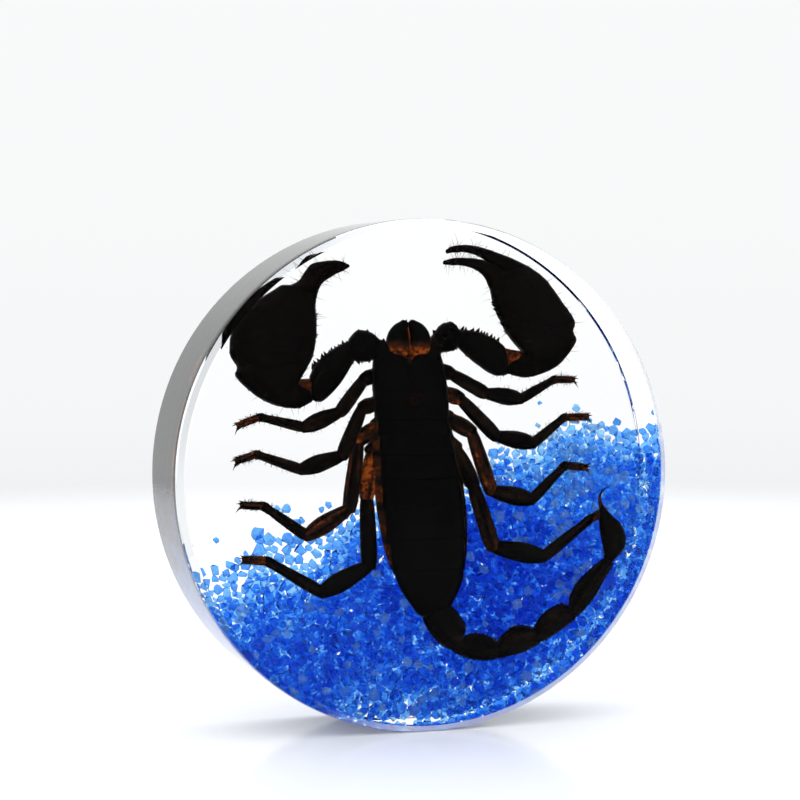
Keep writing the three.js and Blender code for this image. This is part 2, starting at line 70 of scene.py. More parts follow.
# Body rows: x of the middle, z, half width, rise of the back, fall of the belly.
CARAPACE = [
    (-2.15, 19.75, 4.3, 1.5, 2.0),
    (-2.1, 18.7, 5.45, 2.7, 2.6),
    (-1.8, 15, 6.0, 3.7, 3.0),
    (-1.55, 12, 6.1, 4.1, 3.1),
    (-1.35, 8.8, 6.05, 4.2, 3.1),
]
PLATES = [
    (-1.35, 8.8, 6.05, 4.2, 3.1),
    (-1.0, 6.2, 6.15, 4.3, 3.1),
    (-0.6, 3.2, 6.4, 4.4, 3.1),
    (-0.15, -0.6, 6.7, 4.4, 3.1),
    (0.4, -5.1, 6.8, 4.4, 3.1),
    (0.85, -10, 6.6, 4.2, 3.0),
    (1.35, -15, 6.0, 3.6, 2.8),
]
LAST_PLATE = [
    (1.35, -14.6, 5.75, 3.3, 2.6),
    (1.5, -16.4, 5.5, 3.2, 2.6),
    (1.65, -18.6, 4.6, 2.9, 2.4),
    (1.85, -21.0, 3.1, 2.3, 2.1),
    (1.95, -22.0, 2.5, 1.9, 1.8),
]
FLANK = [
    (-1.5, 9.5, 5.9, 1.7, 1.6),
    (-1.2, 6.4, 6.6, 1.8, 1.7),
    (-0.45, 0, 7.3, 1.9, 1.7),
    (0.35, -6.5, 7.35, 1.9, 1.7),
    (0.95, -12, 6.75, 1.7, 1.6),
    (1.35, -15.6, 5.8, 1.5, 1.4),
]
EYES = [(-1.98, 11.8), (-0.86, 12.0)]
JAWS = [
    [(-3.55, 17.6, 1.75), (-3.75, 20.6, 1.95), (-3.35, 22.4, 1.6), (-2.6, 23.8, 0.7)],
    [(-0.35, 17.6, 1.75), (-0.2, 20.6, 1.9), (-0.65, 22.4, 1.6), (-1.55, 23.8, 0.7)],
]
JAW_Y = -2.1

# Arms and hands as ribs from the inner to the outer edge: x, z, x, z, half depth.
ARM_Y = -1.6
ARMS = [
    {
        "trochanter": [
            (-4.6, 20.2, -4.9, 16.6, 1.6), (-6.0, 21.1, -6.4, 17.6, 1.7),
            (-7.3, 21.3, -7.6, 18.4, 1.4),
        ],
        "femur": [
            (-6.8, 21.4, -7.1, 18.4, 1.4), (-8.2, 22.4, -8.3, 17.9, 1.9),
            (-10.2, 22.7, -9.8, 17.8, 1.9), (-11.4, 21.6, -11.1, 18.1, 1.5),
        ],
        "patella": [
            (-10.9, 21.0, -10.6, 18.3, 1.3), (-12.5, 20.7, -11.5, 16.8, 1.8),
            (-15.0, 19.3, -13.4, 14.0, 2.2), (-17.0, 17.5, -15.9, 11.8, 2.1),
            (-17.7, 16.1, -17.4, 11.9, 1.5),
        ],
        "joint": [
            (-17.2, 15.4, -17.2, 12.6, 1.2), (-18.2, 15.3, -18.2, 12.8, 1.1),
            (-19.8, 15.3, -19.7, 12.6, 1.2),
        ],
        "hand": [
            (-18.7, 14.6, -17.6, 11.7, 1.1), (-19.7, 15.0, -20.4, 10.7, 1.9),
            (-18.7, 16.4, -25.2, 12.0, 2.7), (-17.6, 18.3, -29.4, 15.5, 3.2),
            (-17.15, 19.8, -29.4, 17.3, 3.3), (-16.9, 21.6, -30.5, 19.4, 3.3),
            (-16.8, 24.0, -29.9, 23.2, 3.1), (-17.0, 26.4, -26.6, 27.0, 2.7),
            (-16.6, 28.4, -22.4, 29.7, 2.1),
        ],
        "fingers": [
            [
                (-16.9, 27.4, -21.4, 29.6, 1.5), (-16.1, 29.6, -19.6, 30.4, 1.5),
                (-14.9, 30.65, -17.75, 32.8, 1.3), (-13.5, 31.45, -15.6, 33.4, 1.1),
                (-12.4, 31.95, -13.3, 33.5, 0.8), (-11.65, 32.4, -11.85, 33.0, 0.45),
            ],
        ],
        "palm_teeth": [(-17.6, 18.4), (-16.95, 21.6), (-16.75, 24.6), (-16.95, 27.2)],
        "arm_teeth": [(-12.0, 20.95), (-14.2, 19.9), (-16.2, 18.35), (-17.3, 17.1)],
        "lean": (1.0, 0.35),
    },
    {
        "trochanter": [
            (0.6, 20.4, 1.0, 17.0, 1.6), (1.8, 21.6, 2.2, 18.4, 1.7), (2.9, 22.2, 3.3, 19.0, 1.4),
        ],
        "femur": [
            (2.2, 22.0, 2.7, 19.2, 1.4), (3.3, 23.4, 3.9, 19.1, 1.9), (5.2, 23.9, 5.4, 19.4, 1.9),
            (6.3, 22.8, 6.4, 20.1, 1.5),
        ],
        "patella": [
            (5.8, 22.4, 6.0, 20.1, 1.3), (7.6, 22.6, 7.2, 18.9, 1.8), (10.2, 22.1, 9.4, 17.1, 2.2),
            (12.6, 21.0, 12.2, 15.4, 2.1), (13.8, 20.1, 14.3, 15.4, 1.5),
        ],
        "joint": [
            (13.7, 19.8, 13.9, 16.6, 1.2), (14.8, 19.5, 15.0, 16.7, 1.1),
            (16.6, 19.2, 16.8, 16.2, 1.2),
        ],
        "hand": [
            (15.7, 18.6, 14.4, 15.6, 1.1), (17.0, 19.2, 18.0, 15.0, 1.9),
            (15.8, 20.2, 22.8, 16.7, 2.7), (14.2, 22.2, 26.0, 20.4, 3.2),
            (13.6, 23.4, 25.6, 22.2, 3.3), (12.9, 24.8, 25.8, 24.0, 3.3),
            (12.0, 27.0, 23.4, 27.4, 3.1), (11.7, 29.2, 20.6, 30.8, 2.6),
            (12.2, 31.0, 18.0, 32.6, 1.9),
        ],
        "fingers": [
            [
                (14.2, 30.8, 18.6, 32.3, 1.3), (12.4, 32.4, 15.4, 33.8, 1.2),
                (9.6, 34.15, 10.8, 35.4, 0.95), (7.6, 34.75, 7.9, 35.95, 0.8),
                (5.8, 34.75, 5.6, 35.8, 0.6), (4.55, 34.6, 4.45, 35.3, 0.38),
            ],
            [
                (11.6, 28.8, 15.0, 31.6, 1.4), (10.5, 31.0, 12.6, 33.0, 1.2),
                (8.8, 32.2, 9.6, 33.75, 0.95), (6.8, 32.7, 7.0, 33.95, 0.8),
                (5.2, 32.75, 5.3, 33.85, 0.6), (4.0, 32.88, 4.1, 33.55, 0.38),
            ],
        ],
        "palm_teeth": [(15.4, 20.7), (13.4, 23.6), (12.1, 26.6), (11.7, 29.0)],
        "arm_teeth": [(7.0, 22.65), (9.2, 22.4), (11.2, 21.8), (12.8, 20.95)],
        "lean": (-1.0, 0.35),
    },
]

# Legs: coxa, hip, trochanter, femur, patella, tibia and tarsus ends, girth,
# stain of each segment past the hip.
LEG_Y = [-0.1, -0.4, -1.0, -2.1, -1.9, -1.4, -1.2]
LEGS = [
    (
        [
            (-3.2, 15.7), (-7.0, 15.8), (-9.1, 15.0), (-13.1, 10.1),
            (-18.9, 7.8), (-25.8, 9.5), (-29, 8.4),
        ],
        1.0,
        (0.2, 0.25, 0.22, 0.25, 0.62),
    ),
    (
        [
            (-2.9, 13.4), (-6.9, 11.3), (-9.4, 10.6), (-12.8, 3.3),
            (-19.4, 1.3), (-26.4, 3.8), (-29.3, 2.9),
        ],
        1.04,
        (0.32, 0.24, 0.22, 0.25, 0.6),
    ),
    (
        [
            (-2.6, 11), (-6.8, 7.7), (-10, 5.6), (-11.7, -5),
            (-18.6, -9), (-25.3, -4.2), (-28.5, -4),
        ],
        1.1,
        (0.75, 0.52, 0.5, 0.22, 0.6),
    ),
    (
        [
            (-2.3, 8.6), (-7.6, 3.6), (-8.7, -3.2), (-8.5, -14),
            (-16.2, -17.9), (-24.8, -12.7), (-28.2, -12.4),
        ],
        1.2,
        (1.0, 0.16, 0.12, 0.18, 0.55),
    ),
    (
        [
            (-0.8, 16), (3.4, 16.4), (5.2, 15.7), (10.6, 12.6),
            (16.7, 11.6), (22.5, 14.6), (25.6, 14.5),
        ],
        1.0,
        (0.45, 0.28, 0.18, 0.26, 0.6),
    ),
    (
        [
            (-0.5, 13.7), (4.1, 12.8), (6.7, 11.8), (12.4, 5.8),
            (18.8, 4.5), (24.2, 8.5), (28, 8.5),
        ],
        1.04,
        (0.65, 0.27, 0.18, 0.26, 0.6),
    ),
    (
        [
            (-0.2, 11.3), (4.8, 8.7), (8.6, 6.5), (11.6, -2.9),
            (18.5, -4.5), (24.3, 0.8), (27.8, 0.4),
        ],
        1.1,
        (0.5, 0.5, 0.18, 0.22, 0.5),
    ),
    (
        [
            (0.1, 8.9), (6.0, 3.8), (8.8, -1.8), (11.9, -11.8),
            (20.6, -13.7), (28.6, -8), (31.0, -6.9),
        ],
        1.2,
        (0.35, 0.42, 0.15, 0.2, 0.5),
    ),
]
# Half widths along a leg segment, from the trochanter to the tarsus, as share of its length and
# millimetres at girth 1; then its skin, whether it has warts, and its count of hairs.
LEG_SEGMENTS = [
    ([(0, 0.85), (0.35, 1.15), (0.7, 1.2), (1, 0.95)], "leg", True, 0),
    ([(0, 0.72), (0.14, 0.96), (0.45, 1.1), (0.85, 1.13), (1, 0.92)], "keeled_leg", True, 14),
    ([(0, 0.7), (0.16, 1.0), (0.5, 1.34), (0.75, 1.28), (1, 0.82)], "keeled_leg", True, 20),
    ([(0, 0.6), (0.1, 0.84), (0.5, 0.76), (0.84, 0.62), (0.94, 0.72), (1, 0.6)], "leg", True, 44),
    ([(0, 0.5), (0.3, 0.6), (0.75, 0.56), (1, 0.46)], "leg", False, 60),
]
SEGMENT_RINGS = 15
SEGMENT_ROUNDING = 0.45
JOINT_LAP = 0.3

# Tail segments as ribs from the inner to the outer edge: x, z, x, z, half depth.
TAIL = [
    [
        (4.6, -20.6, 0.3, -21.8, 2.0), (5.4, -21.3, 0.6, -23.2, 2.3), (6.6, -22.9, 1.7, -25.1, 2.5),
        (7.4, -24.4, 3.1, -26.7, 2.4), (7.1, -25.6, 4.7, -27.8, 1.7),
    ],
    [
        (6.9, -26.2, 4.9, -27.8, 1.6), (8.0, -25.65, 6.4, -28.8, 2.0),
        (9.8, -25.65, 8.9, -29.65, 2.2), (11.7, -26.3, 11.2, -29.9, 2.1),
        (12.7, -27.1, 12.4, -29.75, 1.6),
    ],
    [
        (12.6, -27.3, 12.5, -29.7, 1.5), (13.7, -26.0, 14.3, -29.45, 2.0),
        (15.7, -24.8, 16.6, -29.0, 2.2), (17.7, -24.75, 18.8, -28.2, 2.0),
        (18.9, -25.3, 19.9, -27.6, 1.5),
    ],
    [
        (18.9, -25.5, 19.9, -27.5, 1.4), (19.9, -23.7, 21.6, -26.75, 1.9),
        (21.7, -22.2, 23.4, -25.7, 2.1), (23.7, -21.5, 25.2, -24.5, 1.9),
        (25.0, -21.9, 26.1, -23.7, 1.4),
    ],
    [
        (25.0, -22.2, 26.0, -23.8, 1.4), (25.3, -20.1, 27.8, -22.3, 1.9),
        (26.6, -18.0, 29.6, -20.2, 2.1), (28.7, -16.1, 31.2, -17.5, 1.9),
        (30.9, -14.4, 32.6, -15.6, 1.3),
    ],
]
TELSON = [
    (31.0, -15.1, 32.9, -14.6, 0.9), (31.0, -13.2, 34.3, -13.2, 1.7),
    (30.5, -10.9, 34.8, -11.3, 2.0), (30.2, -8.5, 34.0, -9.0, 1.7), (30.15, -7.1, 32.2, -7.3, 0.9),
    (30.25, -5.9, 31.0, -5.9, 0.4),
]
STING = [
    (30.65, -6.5, 0.44), (30.3, -5.0, 0.3), (30.35, -4.2, 0.22), (30.8, -3.4, 0.14),
    (31.6, -2.9, 0.05),
]

# Granules: top edge as x, z and the height of the thinning slope, then single grains above it.
BED_TOP = [
    (-34.6, -14.6, 18), (-31, -16, 18), (-29, -14, 18), (-27.2, -12, 18), (-25, -9.8, 18),
    (-22, -9.4, 18), (-19, -9.8, 17), (-16, -9.6, 15), (-12.5, -8.2, 13), (-9, -5.4, 11),
    (-3, -3.8, 7), (4, -3.6, 6), (9.5, -3.2, 6), (12.5, 1.8, 9), (15, 3.5, 9), (18, 2.6, 9),
    (22, 4.2, 10), (25.5, 7.6, 10), (30, 8.3, 10), (34, 6.4, 10), (37.4, 5.6, 10),
]
BED_RADIUS = 39.8
BED_FRONT_Y = 2.1
BED_BACK_Y = 8.8
BED_EDGE_THICKNESS = 1.3
LOOSE_GRAINS = [
    (-31.4, -9.9, 0.62), (-29.2, -14.0, 0.8), (-20.2, -5.4, 0.85), (-18.4, -7.6, 0.8),
    (-13.2, -4.9, 0.7), (22.3, 10.5, 0.42), (22.0, 6.9, 0.45), (-33.9, -15.7, 0.6),
    (-17.6, -7.2, 0.7), (15.2, 4.6, 0.7), (-24.6, -9.1, 1.3), (-10.4, -5.2, 0.7), (28.6, 9.6, 0.6),
    (35.8, 7.2, 0.75), (-21.6, -5.2, 0.7), (-20.4, -7.0, 0.75), (-31.6, -14.6, 0.85),
    (-14.4, -5.6, 0.6),
]
GRAIN_COUNT = 4200
GRAIN_SMALL = 0.5
GRAIN_LARGE = 1.25
GRAIN_SPREAD = (2.0, 3.2)
GRAIN_RIM_GAP = 0.12
GRAIN_BACK_GAP = 0.35
GRAIN_FLOOR = 0.15
LOOSE_DEPTH = 0.8

# Grain shapes: how many, points of each hull, reach of the points, stretch along each axis.
GRAIN_SHAPES = 60
CHIP_POINTS = 17
CHIP_REACH = (0.92, 1.2)
CHIP_STRETCH = (0.8, 1.2)

# Packing: random trials inside a box, then rounds that push grains apart.
TRIALS = 20000
TRIAL_LOW = (-39, BED_FRONT_Y, -39)
TRIAL_HIGH = (39, BED_BACK_Y, 9)
TRIAL_MARGIN = 0.4
TRIAL_DEPTH = 0.2
PACK_ROUNDS = 36
PACK_CLOSENESS = 0.93
PACK_PUSH = 0.4
PACK_STEP = 0.5
PACK_TOP_GAP = 0.35
PACK_TOP_STEP = 0.6
GRAIN_WALL_SHARE = 0.8

# Tints: milky grains in the front layer, a patch of painted reflection (a whitish veil over the right of
# the bed) and a patch of painted shade behind the tail, each as x, z and spread.
FRONT_LAYER = 0.5
PALE_SHARE = 0.13
PALE_DEPTH = 7.0
MILKY_TINTS = (0.56, 0.8)
TINT_BASE = 0.03
TINT_SPREAD = 0.42
TINT_DEEP = 0.24
DEEP_REACH = 9.0
# Painted reflection: a whitish veil where the grains are made paler and more of them milky.
REFLECTION_PATCH = (26.0, 1.0, 100.0)
REFLECTION_SHARE = 0.4
REFLECTION_TINT = 0.3
# Painted shade: a darker patch of grains behind the tail, where the tail blocks the light.
PAINTED_SHADE = (14.0, -18.0, 150.0)
PAINTED_SHADE_TINT = 0.25


@dataclass
class Skin:
    """How a form is drawn: steps between its rows, rounding of its ends, section and surface."""

    sides: int
    stain: float = 0.0
    rough: float = 0.0
    steps: int = 6
    rounding: float = 0.4
    power: float = 2.0
    keels: tuple = ()
    keel_height: float = 0.05


# Keels are angles round a section in degrees; stain runs from black at 0 to amber at 1.
ARM_KEELS = (35, 90, 145)
TAIL_KEELS = (0, 35, 75, 105, 145, 180, 225, 270, 315)
SKINS = {
    "carapace": Skin(64, 0.05, 0.07, steps=9, rounding=0.5, power=2.3),
    "plate": Skin(64, 0.04, 0.045, steps=3, rounding=0.14, power=2.35),
    "last_plate": Skin(64, 0.04, 0.06, rounding=0.5, power=2.3, keels=(60, 120)),
    "flank": Skin(48, rough=0.09, steps=8),
    "seam": Skin(8, 1.2, 0.05, rounding=0.1),
    "jaw": Skin(28, rough=0.04),
    "trochanter": Skin(32, 0.12, 0.14, rounding=0.45, power=2.2, keels=ARM_KEELS),
    "femur": Skin(32, 0.06, 0.14, rounding=0.45, power=2.2, keels=ARM_KEELS),
    "patella": Skin(36, 0.1, 0.08, rounding=0.45, power=2.2, keels=ARM_KEELS),
    "joint": Skin(24, 0.8, 0.14, rounding=0.45, power=2.2),
    "hand": Skin(56, 0.12, 0.11, 7, 0.5, power=2.1, keels=(28, 62, 100, 140), keel_height=0.022),
    "finger": Skin(28, 0.14, 0.06, 7, 0.3, power=2.1, keels=(50, 110)),
    "leg": Skin(18, rough=0.05),
    "keeled_leg": Skin(18, rough=0.05, keels=(60, 120)),
    "hip": Skin(18, 0.35, 0.05, keels=(270,)),
    "comb": Skin(18, 0.75, 0.05),
    "tail": Skin(72, 0.2, 0.06, steps=7, keels=TAIL_KEELS),
    "telson": Skin(40, 0.12, 0.09, steps=7),
    "sting": Skin(14),
}
TINY = 1e-6
END_TURNS = (25, 50, 70, 84)
KEEL_SPREAD = 0.16
COARSE_NOISE = 2.6
FINE_NOISE = 6.1
PROFILE_STEPS = 8

# Streaks of stain: noise on a cylinder about the limb, then contrast and limits.
STREAK_RADIUS = 2.2
STREAK_LENGTH = 1.8
STREAK_SHIFT = 3.7
STREAK_BASE = 0.7
STREAK_LIMITS = (0.15, 1.3)
DARK_LEVEL = 0.4
DARK_CONTRAST = 1.1
PALE_CONTRAST = 2.0

# Spines: shares of the length that have a ring, loss of radius towards the tip.
STRAIGHT_SHARES = (0.0, 0.6)
BENT_SHARES = (0.0, 0.45, 0.8)
SPINE_TAPER = 0.9
SPINE_REFERENCE = (0.3, 0.9, 0.31)

# Warts: count, radius, height, steps between the rows that carry them, stain.
WARTS = {
    "carapace": (190, 0.2, 0.12, 6, 0.06),
    "trochanter": (16, 0.34, 0.34, 4, 0.08),
    "femur": (30, 0.36, 0.4, 4, 0.08),
    "patella": (34, 0.2, 0.22, 4, 0.08),
    "hand": (150, 0.2, 0.12, 4, 0.12),
    "finger": (40, 0.14, 0.1, 4, 0.1),
}
PLATE_WARTS = (46, 0.13, 0.05, 0.05)
PLATE_WART_ROWS = slice(6, -4)
LEG_WARTS = (26, 0.13, 0.13)
LEG_WART_ROWS = slice(4, -4)
WART_ROOT = 0.5
WART_SIZES = (0.6, 1.3)
WART_LEAN = 0.2

# Head: the dip of the front edge and the furrow behind it, eyes, seam and teeth of the jaws.
DORSAL_MARGIN = 0.5
NOTCH_START = 15.5
NOTCH_LENGTH = 4.5
NOTCH_DEPTH = 2.4
NOTCH_WIDTH = 1.0
FURROW_START = 19.0
FURROW_FADE = 3.0
FURROW_DEPTH = 0.28
FURROW_WIDTH = 0.5
EYE_MOUND = (-1.42, BODY_Y - 3.95, 11.9)
EYE_MOUND_RADII = (1.3, 0.55, 1.3)
EYE_Y = BODY_Y - 4.2
EYE_RADII = (0.36, 0.42, 0.36)
EYE_STAIN = 0.0
EYE_RING_BEADS = 12
EYE_RING_RADIUS = 0.43
EYE_RING_Y = BODY_Y - 4.56
EYE_RING_STAIN = 0.7
BEAD_RADII = (0.07, 0.1, 0.07)
SIDE_EYE_MIDDLE = -2.0
SIDE_EYES = [(4.6, 18.2), (4.74, 17.5), (4.88, 16.8)]
SIDE_EYE_Y = BODY_Y - 1.9
SIDE_EYE_RADII = (0.26, 0.26, 0.26)
SEAM_ENDS = [(-2.2, JAW_Y - 0.75, 23.0), (-1.75, JAW_Y - 0.95, 19.2)]
SEAM_RINGS = 12
SEAM_HALF = 0.085
JAW_AMBER = 0.8
JAW_AMBER_TOP = 21.3
JAW_AMBER_FADE = 1.6
JAW_DARK = 0.08
JAW_MEETING_X = -1.9
# Jaw teeth: shift from the tip, lean inwards, lean to the back, radius, length.
JAW_TEETH = [((0, -0.3, -0.2), 0.2, -0.1, 0.34, 0.8), ((0, 0.5, -0.3), 0.3, 0.1, 0.3, 0.7)]
JAW_TOOTH_BEND = 0.3
JAW_TOOTH_STAIN = 0.2

# Body plates: share of the way to the next row and drop of the skin, then how the drop is spread
# over half width, back and belly. The flank is stained on its left and right.
PLATE_ROWS = [(-0.08, 0.5), (0.02, 0.38), (0.2, 0.27), (0.5, 0.14), (0.8, 0.04), (0.94, 0.0), (1.0, 0.06)]
PLATE_DROP = (0.9, 1.0, 0.5)
FLANK_STAINS = (0.62, 0.34)
FLANK_END_STAIN = 0.3
CREASE_REACH = 0.9
CREASE_SHADE = 0.25

# Underside: hip plates, breast plate, and combs as middle x, reach to the side, y and z.
HIP_PROFILE = [(0, 0.8), (0.4, 1.15), (1, 1.2)]
HIP_INNER_Y = 0.35
HIP_OUTER_Y = 0.0
BREAST = (-1.3, 1.2, 10.2)
BREAST_RADII = (1.0, 0.5, 1.4)
BREAST_STAIN = 0.4
COMB_ENDS = [(-1.0, 0.7, 1.35, 8.2), (-0.8, 4.6, 1.1, 5.6)]
COMB_PROFILE = [(0, 0.4), (0.5, 0.45), (1, 0.25)]
COMB_TEETH = 12
COMB_TOOTH_START = 0.12
COMB_TOOTH_STEP = 0.07
COMB_TOOTH_SHIFT = (0, 0.05, -0.2)
COMB_TOOTH_OUT = 0.1
COMB_TOOTH_BACK = 0.05
COMB_TOOTH_LENGTH = 0.95
COMB_TOOTH_LOSS = 0.03
COMB_TOOTH_RADIUS = 0.17
COMB_TOOTH_STAIN = 0.8

# Teeth of the arms: count and size of the palm's row and of the arm's row.
PALM_TEETH = (30, 0.65)
ARM_TEETH = (11, 1.0)
ARM_TOOTH_LEAN = 0.45
TOOTH_SIZES = (0.6, 1.25)
TOOTH_DEPTHS = (-0.5, 0.8)
TOOTH_ROOT = 0.28
TOOTH_SPREAD = 0.16
TOOTH_RADIUS = 0.4
TOOTH_LENGTH = 0.95
TOOTH_STAIN = 0.08

# Feet: claws, a brush of bristles that is densest at the tip, and spurs.
CLAW_FORK = 0.55
CLAW_DROP = 0.4
CLAW_LEAN = 0.15
CLAW_ROOT = 0.15
CLAW_RADIUS = 0.24
CLAW_LENGTH = 1.55
CLAW_STAIN = 0.3
BRUSH_COUNT = 54
BRUSH_REACH = 0.85
BRUSH_ACROSS = (0.4, 1.0)
BRUSH_DEPTHS = (-0.8, 0.4)
BRUSH_ROOT = 0.36
BRUSH_OUTWARD = 0.6
BRUSH_FORWARD = 1.1
BRUSH_LENGTHS = (0.6, 1.25)
BRUSH_RADIUS = 0.1
BRUSH_STAIN = 0.4
SPUR_OUT = 0.35
SPUR_FORK = 0.8
SPUR_FORWARD = 0.8
SPUR_RADIUS = 0.17
SPUR_LENGTH = 0.75
SPUR_STAIN = 0.35

# Tail spines stand in rows on the keels; the sting darkens towards its tip.
SPINY_KEELS = 7
SPINE_STEPS = 3
SPINE_LIFT = 1.03
SPINE_SIZES = (0.7, 1.3)
SPINE_LEAN = 0.25
SPINE_ROOT = 0.12
SPINE_RADIUS = 0.19
SPINE_LENGTH = 0.36
SPINE_STAIN = 0.12
STING_THINNEST = 0.03
STING_STAINS = (0.5, 0.1)

# Hairs: count and greatest length on each form.
ARM_HAIRS = [("hand", 70, 1.9), ("patella", 26, 1.6), ("femur", 16, 1.5)]
FINGER_HAIRS = (46, 2.2)
LEG_HAIR_LENGTH = 0.95
LEG_HAIR_RINGS = 9
TAIL_HAIRS = (16, 1.1)
TELSON_HAIRS = (24, 1.3)
ARM_HAIR_STEPS = 5
TAIL_HAIR_STEPS = 4
HAIR_SPREAD = 0.7
HAIR_LEAN = 0.35
HAIR_SHORTEST = 0.35
HAIR_BEND = 0.15
HAIR_ROOT = 0.08
HAIR_RADIUS = 0.042
HAIR_STAIN = 0.5

# Looks: values on the shaders, colours as stops of place and colour.
RESIN = {
    "Base Color": (1, 1, 1, 1),
    "Roughness": 0.0,
    "IOR": 1.52,
    "Transmission Weight": 1.0,
    "Specular Tint": (0.05, 0.05, 0.05, 1),
}
RESIN_ABSORPTION = {"Color": (0.95, 0.97, 0.98, 1), "Density": 3.0}
SATIN = {"Roughness": (0.0, 0.2), "Transmission Weight": (1.0, 0.58)}
CRYSTALS = [("blue_crystal", 0.93), ("milky_crystal", 0.72)]
CRYSTAL_IOR = 1.06
CUTICLE_COLOURS = [
    (0.0, (0.0006, 0.0006, 0.0007)),
    (0.1, (0.0022, 0.0016, 0.0014)),
    (0.22, (0.013, 0.0072, 0.0048)),
    (0.45, (0.04, 0.012, 0.005)),
    (0.7, (0.13, 0.024, 0.005)),
    (1.0, (0.4, 0.085, 0.01)),
]
BRISTLE_COLOURS = [(0.3, (0.012, 0.008, 0.006)), (0.7, (0.07, 0.04, 0.022))]
GRAIN_COLOURS = [
    (0.0, (0.055, 0.24, 0.78)),
    (0.25, (0.1, 0.35, 0.87)),
    (0.45, (0.18, 0.48, 0.95)),
    (0.7, (0.31, 0.62, 0.97)),
    (1.0, (0.62, 0.85, 1.0)),
]
BACKDROP_COLOURS = [
    (0.0, (0.86, 0.87, 0.885)),
    (0.04, (0.91, 0.922, 0.93)),
    (0.12, (0.935, 0.945, 0.95)),
    (0.3, (0.945, 0.955, 0.96)),
    (1.0, (1.8, 1.8, 1.8)),
]
BACKDROP_SPAN = (-0.1, 0.9)
# The floor's pale base is the table top's own colour; its bluish tint is painted blue light reflected
# from the disc.
FLOOR_LOOKS = {"Base Color": (0.9, 0.93, 0.985, 1), "Roughness": 0.12, "Specular IOR Level": 0.1}
FLOOR_RINGS = (100, 200, 300, 380, 460, 600)
FLOOR_SIDES = 96
FLOOR_GAP = 0.1
# In metres: where the floor fades out, and the panel's size and place.
FLOOR_FADE = (0.26, 0.46)
PANEL_SIZE = 0.16
PANEL_PLACE = (0.008, 0.05, 0.045)
PANEL_RADIANCE = 0.065
SEED = 20


def smooth(rows, steps):
    """Rows carried on a smooth curve through the given ones, with steps in each span."""
    rows = np.asarray(rows, float)
    before = np.vstack([2 * rows[0] - rows[1], rows[:-1]])
    after = np.vstack([rows[1:], 2 * rows[-1] - rows[-2]])
    slope = (after - before) / 2
    t = np.linspace(0, 1, steps, endpoint=False)[:, None]
    made = []
    for i in range(len(rows) - 1):
        made.append(
            (2 * t**3 - 3 * t**2 + 1) * rows[i]
            + (t**3 - 2 * t**2 + t) * slope[i]
            + (-2 * t**3 + 3 * t**2) * rows[i + 1]
            + (t**3 - t**2) * slope[i + 1]
        )
    made.append(rows[-1:])
    return np.vstack(made)


def unit(vector):
    """The vector at length one."""
    return vector / np.linalg.norm(vector)


def body_row(rows):
    """Stations x, y, z, side x, side z, front, back of rows that run down the body."""
    x, z, half, front, back = np.array(rows, float).T
    return np.column_stack([x, np.full_like(x, BODY_Y), z, half, np.zeros_like(x), front, back])


def rib_row(ribs, y):
    """Stations from pairs of edge points."""
    x1, z1, x2, z2, half = np.array(ribs, float).T
    middle = [(x1 + x2) / 2, np.full_like(x1, y), (z1 + z2) / 2]
    return np.column_stack([*middle, (x2 - x1) / 2, (z2 - z1) / 2, half, half])


def spine_row(points, halves):
    """Stations along a middle line, square to it in the plane of the disc."""
    way = np.gradient(points[:, (0, 2)], axis=0)
    way /= np.linalg.norm(way, axis=1, keepdims=True)
    return np.column_stack([points, -way[:, 1] * halves, way[:, 0] * halves, halves, halves])


def at_depth(rows, y):
    """Points in space of rows that start with x and z."""
    return np.stack([rows[:, 0], np.full(len(rows), y), rows[:, 1]], 1)


def rounded(stations, reach):
    """The row with a rounded end on each side."""
    parts = []
    for end, inner, order in ((stations[0], stations[1], -1), (stations[-1], stations[-2], 1)):
        away = unit(end[:3] - inner[:3])
        rows = []
        for turn in np.radians(END_TURNS):
            row = end.copy()
            row[:3] += away * reach * math.sin(turn)
            row[3:] *= math.cos(turn)
            rows.append(row)
        parts.append(rows[::order])
    return np.vstack([parts[0], stations, parts[1]])


def circle(sides):
    """Evenly spaced angles of one full turn."""
    return 2 * math.pi * np.arange(sides) / sides


def rings_of(stations, skin):
    """Sections over stations, raised along the skin's keels."""
    turn = circle(skin.sides)
    cos, sin = np.cos(turn), np.sin(turn)
    across = np.sign(cos) * np.abs(cos) ** (2 / skin.power)
    up = np.sign(sin) * np.abs(sin) ** (2 / skin.power)
    swell = np.ones(skin.sides)
    for angle in skin.keels:
        gap = np.angle(np.exp(1j * (turn - math.radians(angle))))
        swell += skin.keel_height * np.exp(-((gap / KEEL_SPREAD) ** 2))
    x, y, z, side_x, side_z, front, back = stations.T[:, :, None]
    rise = np.where(sin > 0, front, back)
    return np.stack([x + side_x * across * swell, y - rise * up * swell, z + side_z * across * swell], 2)


def grid_faces(rows, sides):
    """Four-sided faces between closed rings of points."""
    faces = []
    for i in range(rows - 1):
        for j in range(sides):
            a = i * sides + j
            b = i * sides + (j + 1) % sides
            faces.append((a, b, b + sides, a + sides))
    return faces


def signed_volume(points, faces):
    """Six times the volume inside the faces, below zero where they point inwards."""
    corners = [points[[f[i] for f in faces]] for i in range(3)]
    return float(np.einsum("ij,ij->i", corners[0], np.cross(corners[1], corners[2])).sum())


def unevenness(point):
    """Coarse and fine noise at a point of a skin."""
    return noise.noise(Vector(point * COARSE_NOISE)) + 0.5 * noise.noise(Vector(point * FINE_NOISE))


def add_object(name, data):
    """An object in the scene."""
    item = bpy.data.objects.new(name, data)
    bpy.context.scene.collection.objects.link(item)
    return item


def add_piece(name, points, faces, materials, layer=None, values=None):
    """An object from points in millimetres, with a layer of one value on each point."""
    mesh = bpy.data.meshes.new(name)
    mesh.from_pydata((points * MM).tolist(), [], faces)
    if layer:
        attribute = mesh.attributes.new(layer, "FLOAT", "POINT")
        attribute.data.foreach_set("value", values.astype(np.float32))
    for material in materials:
        mesh.materials.append(material)
    return add_object(name, mesh)


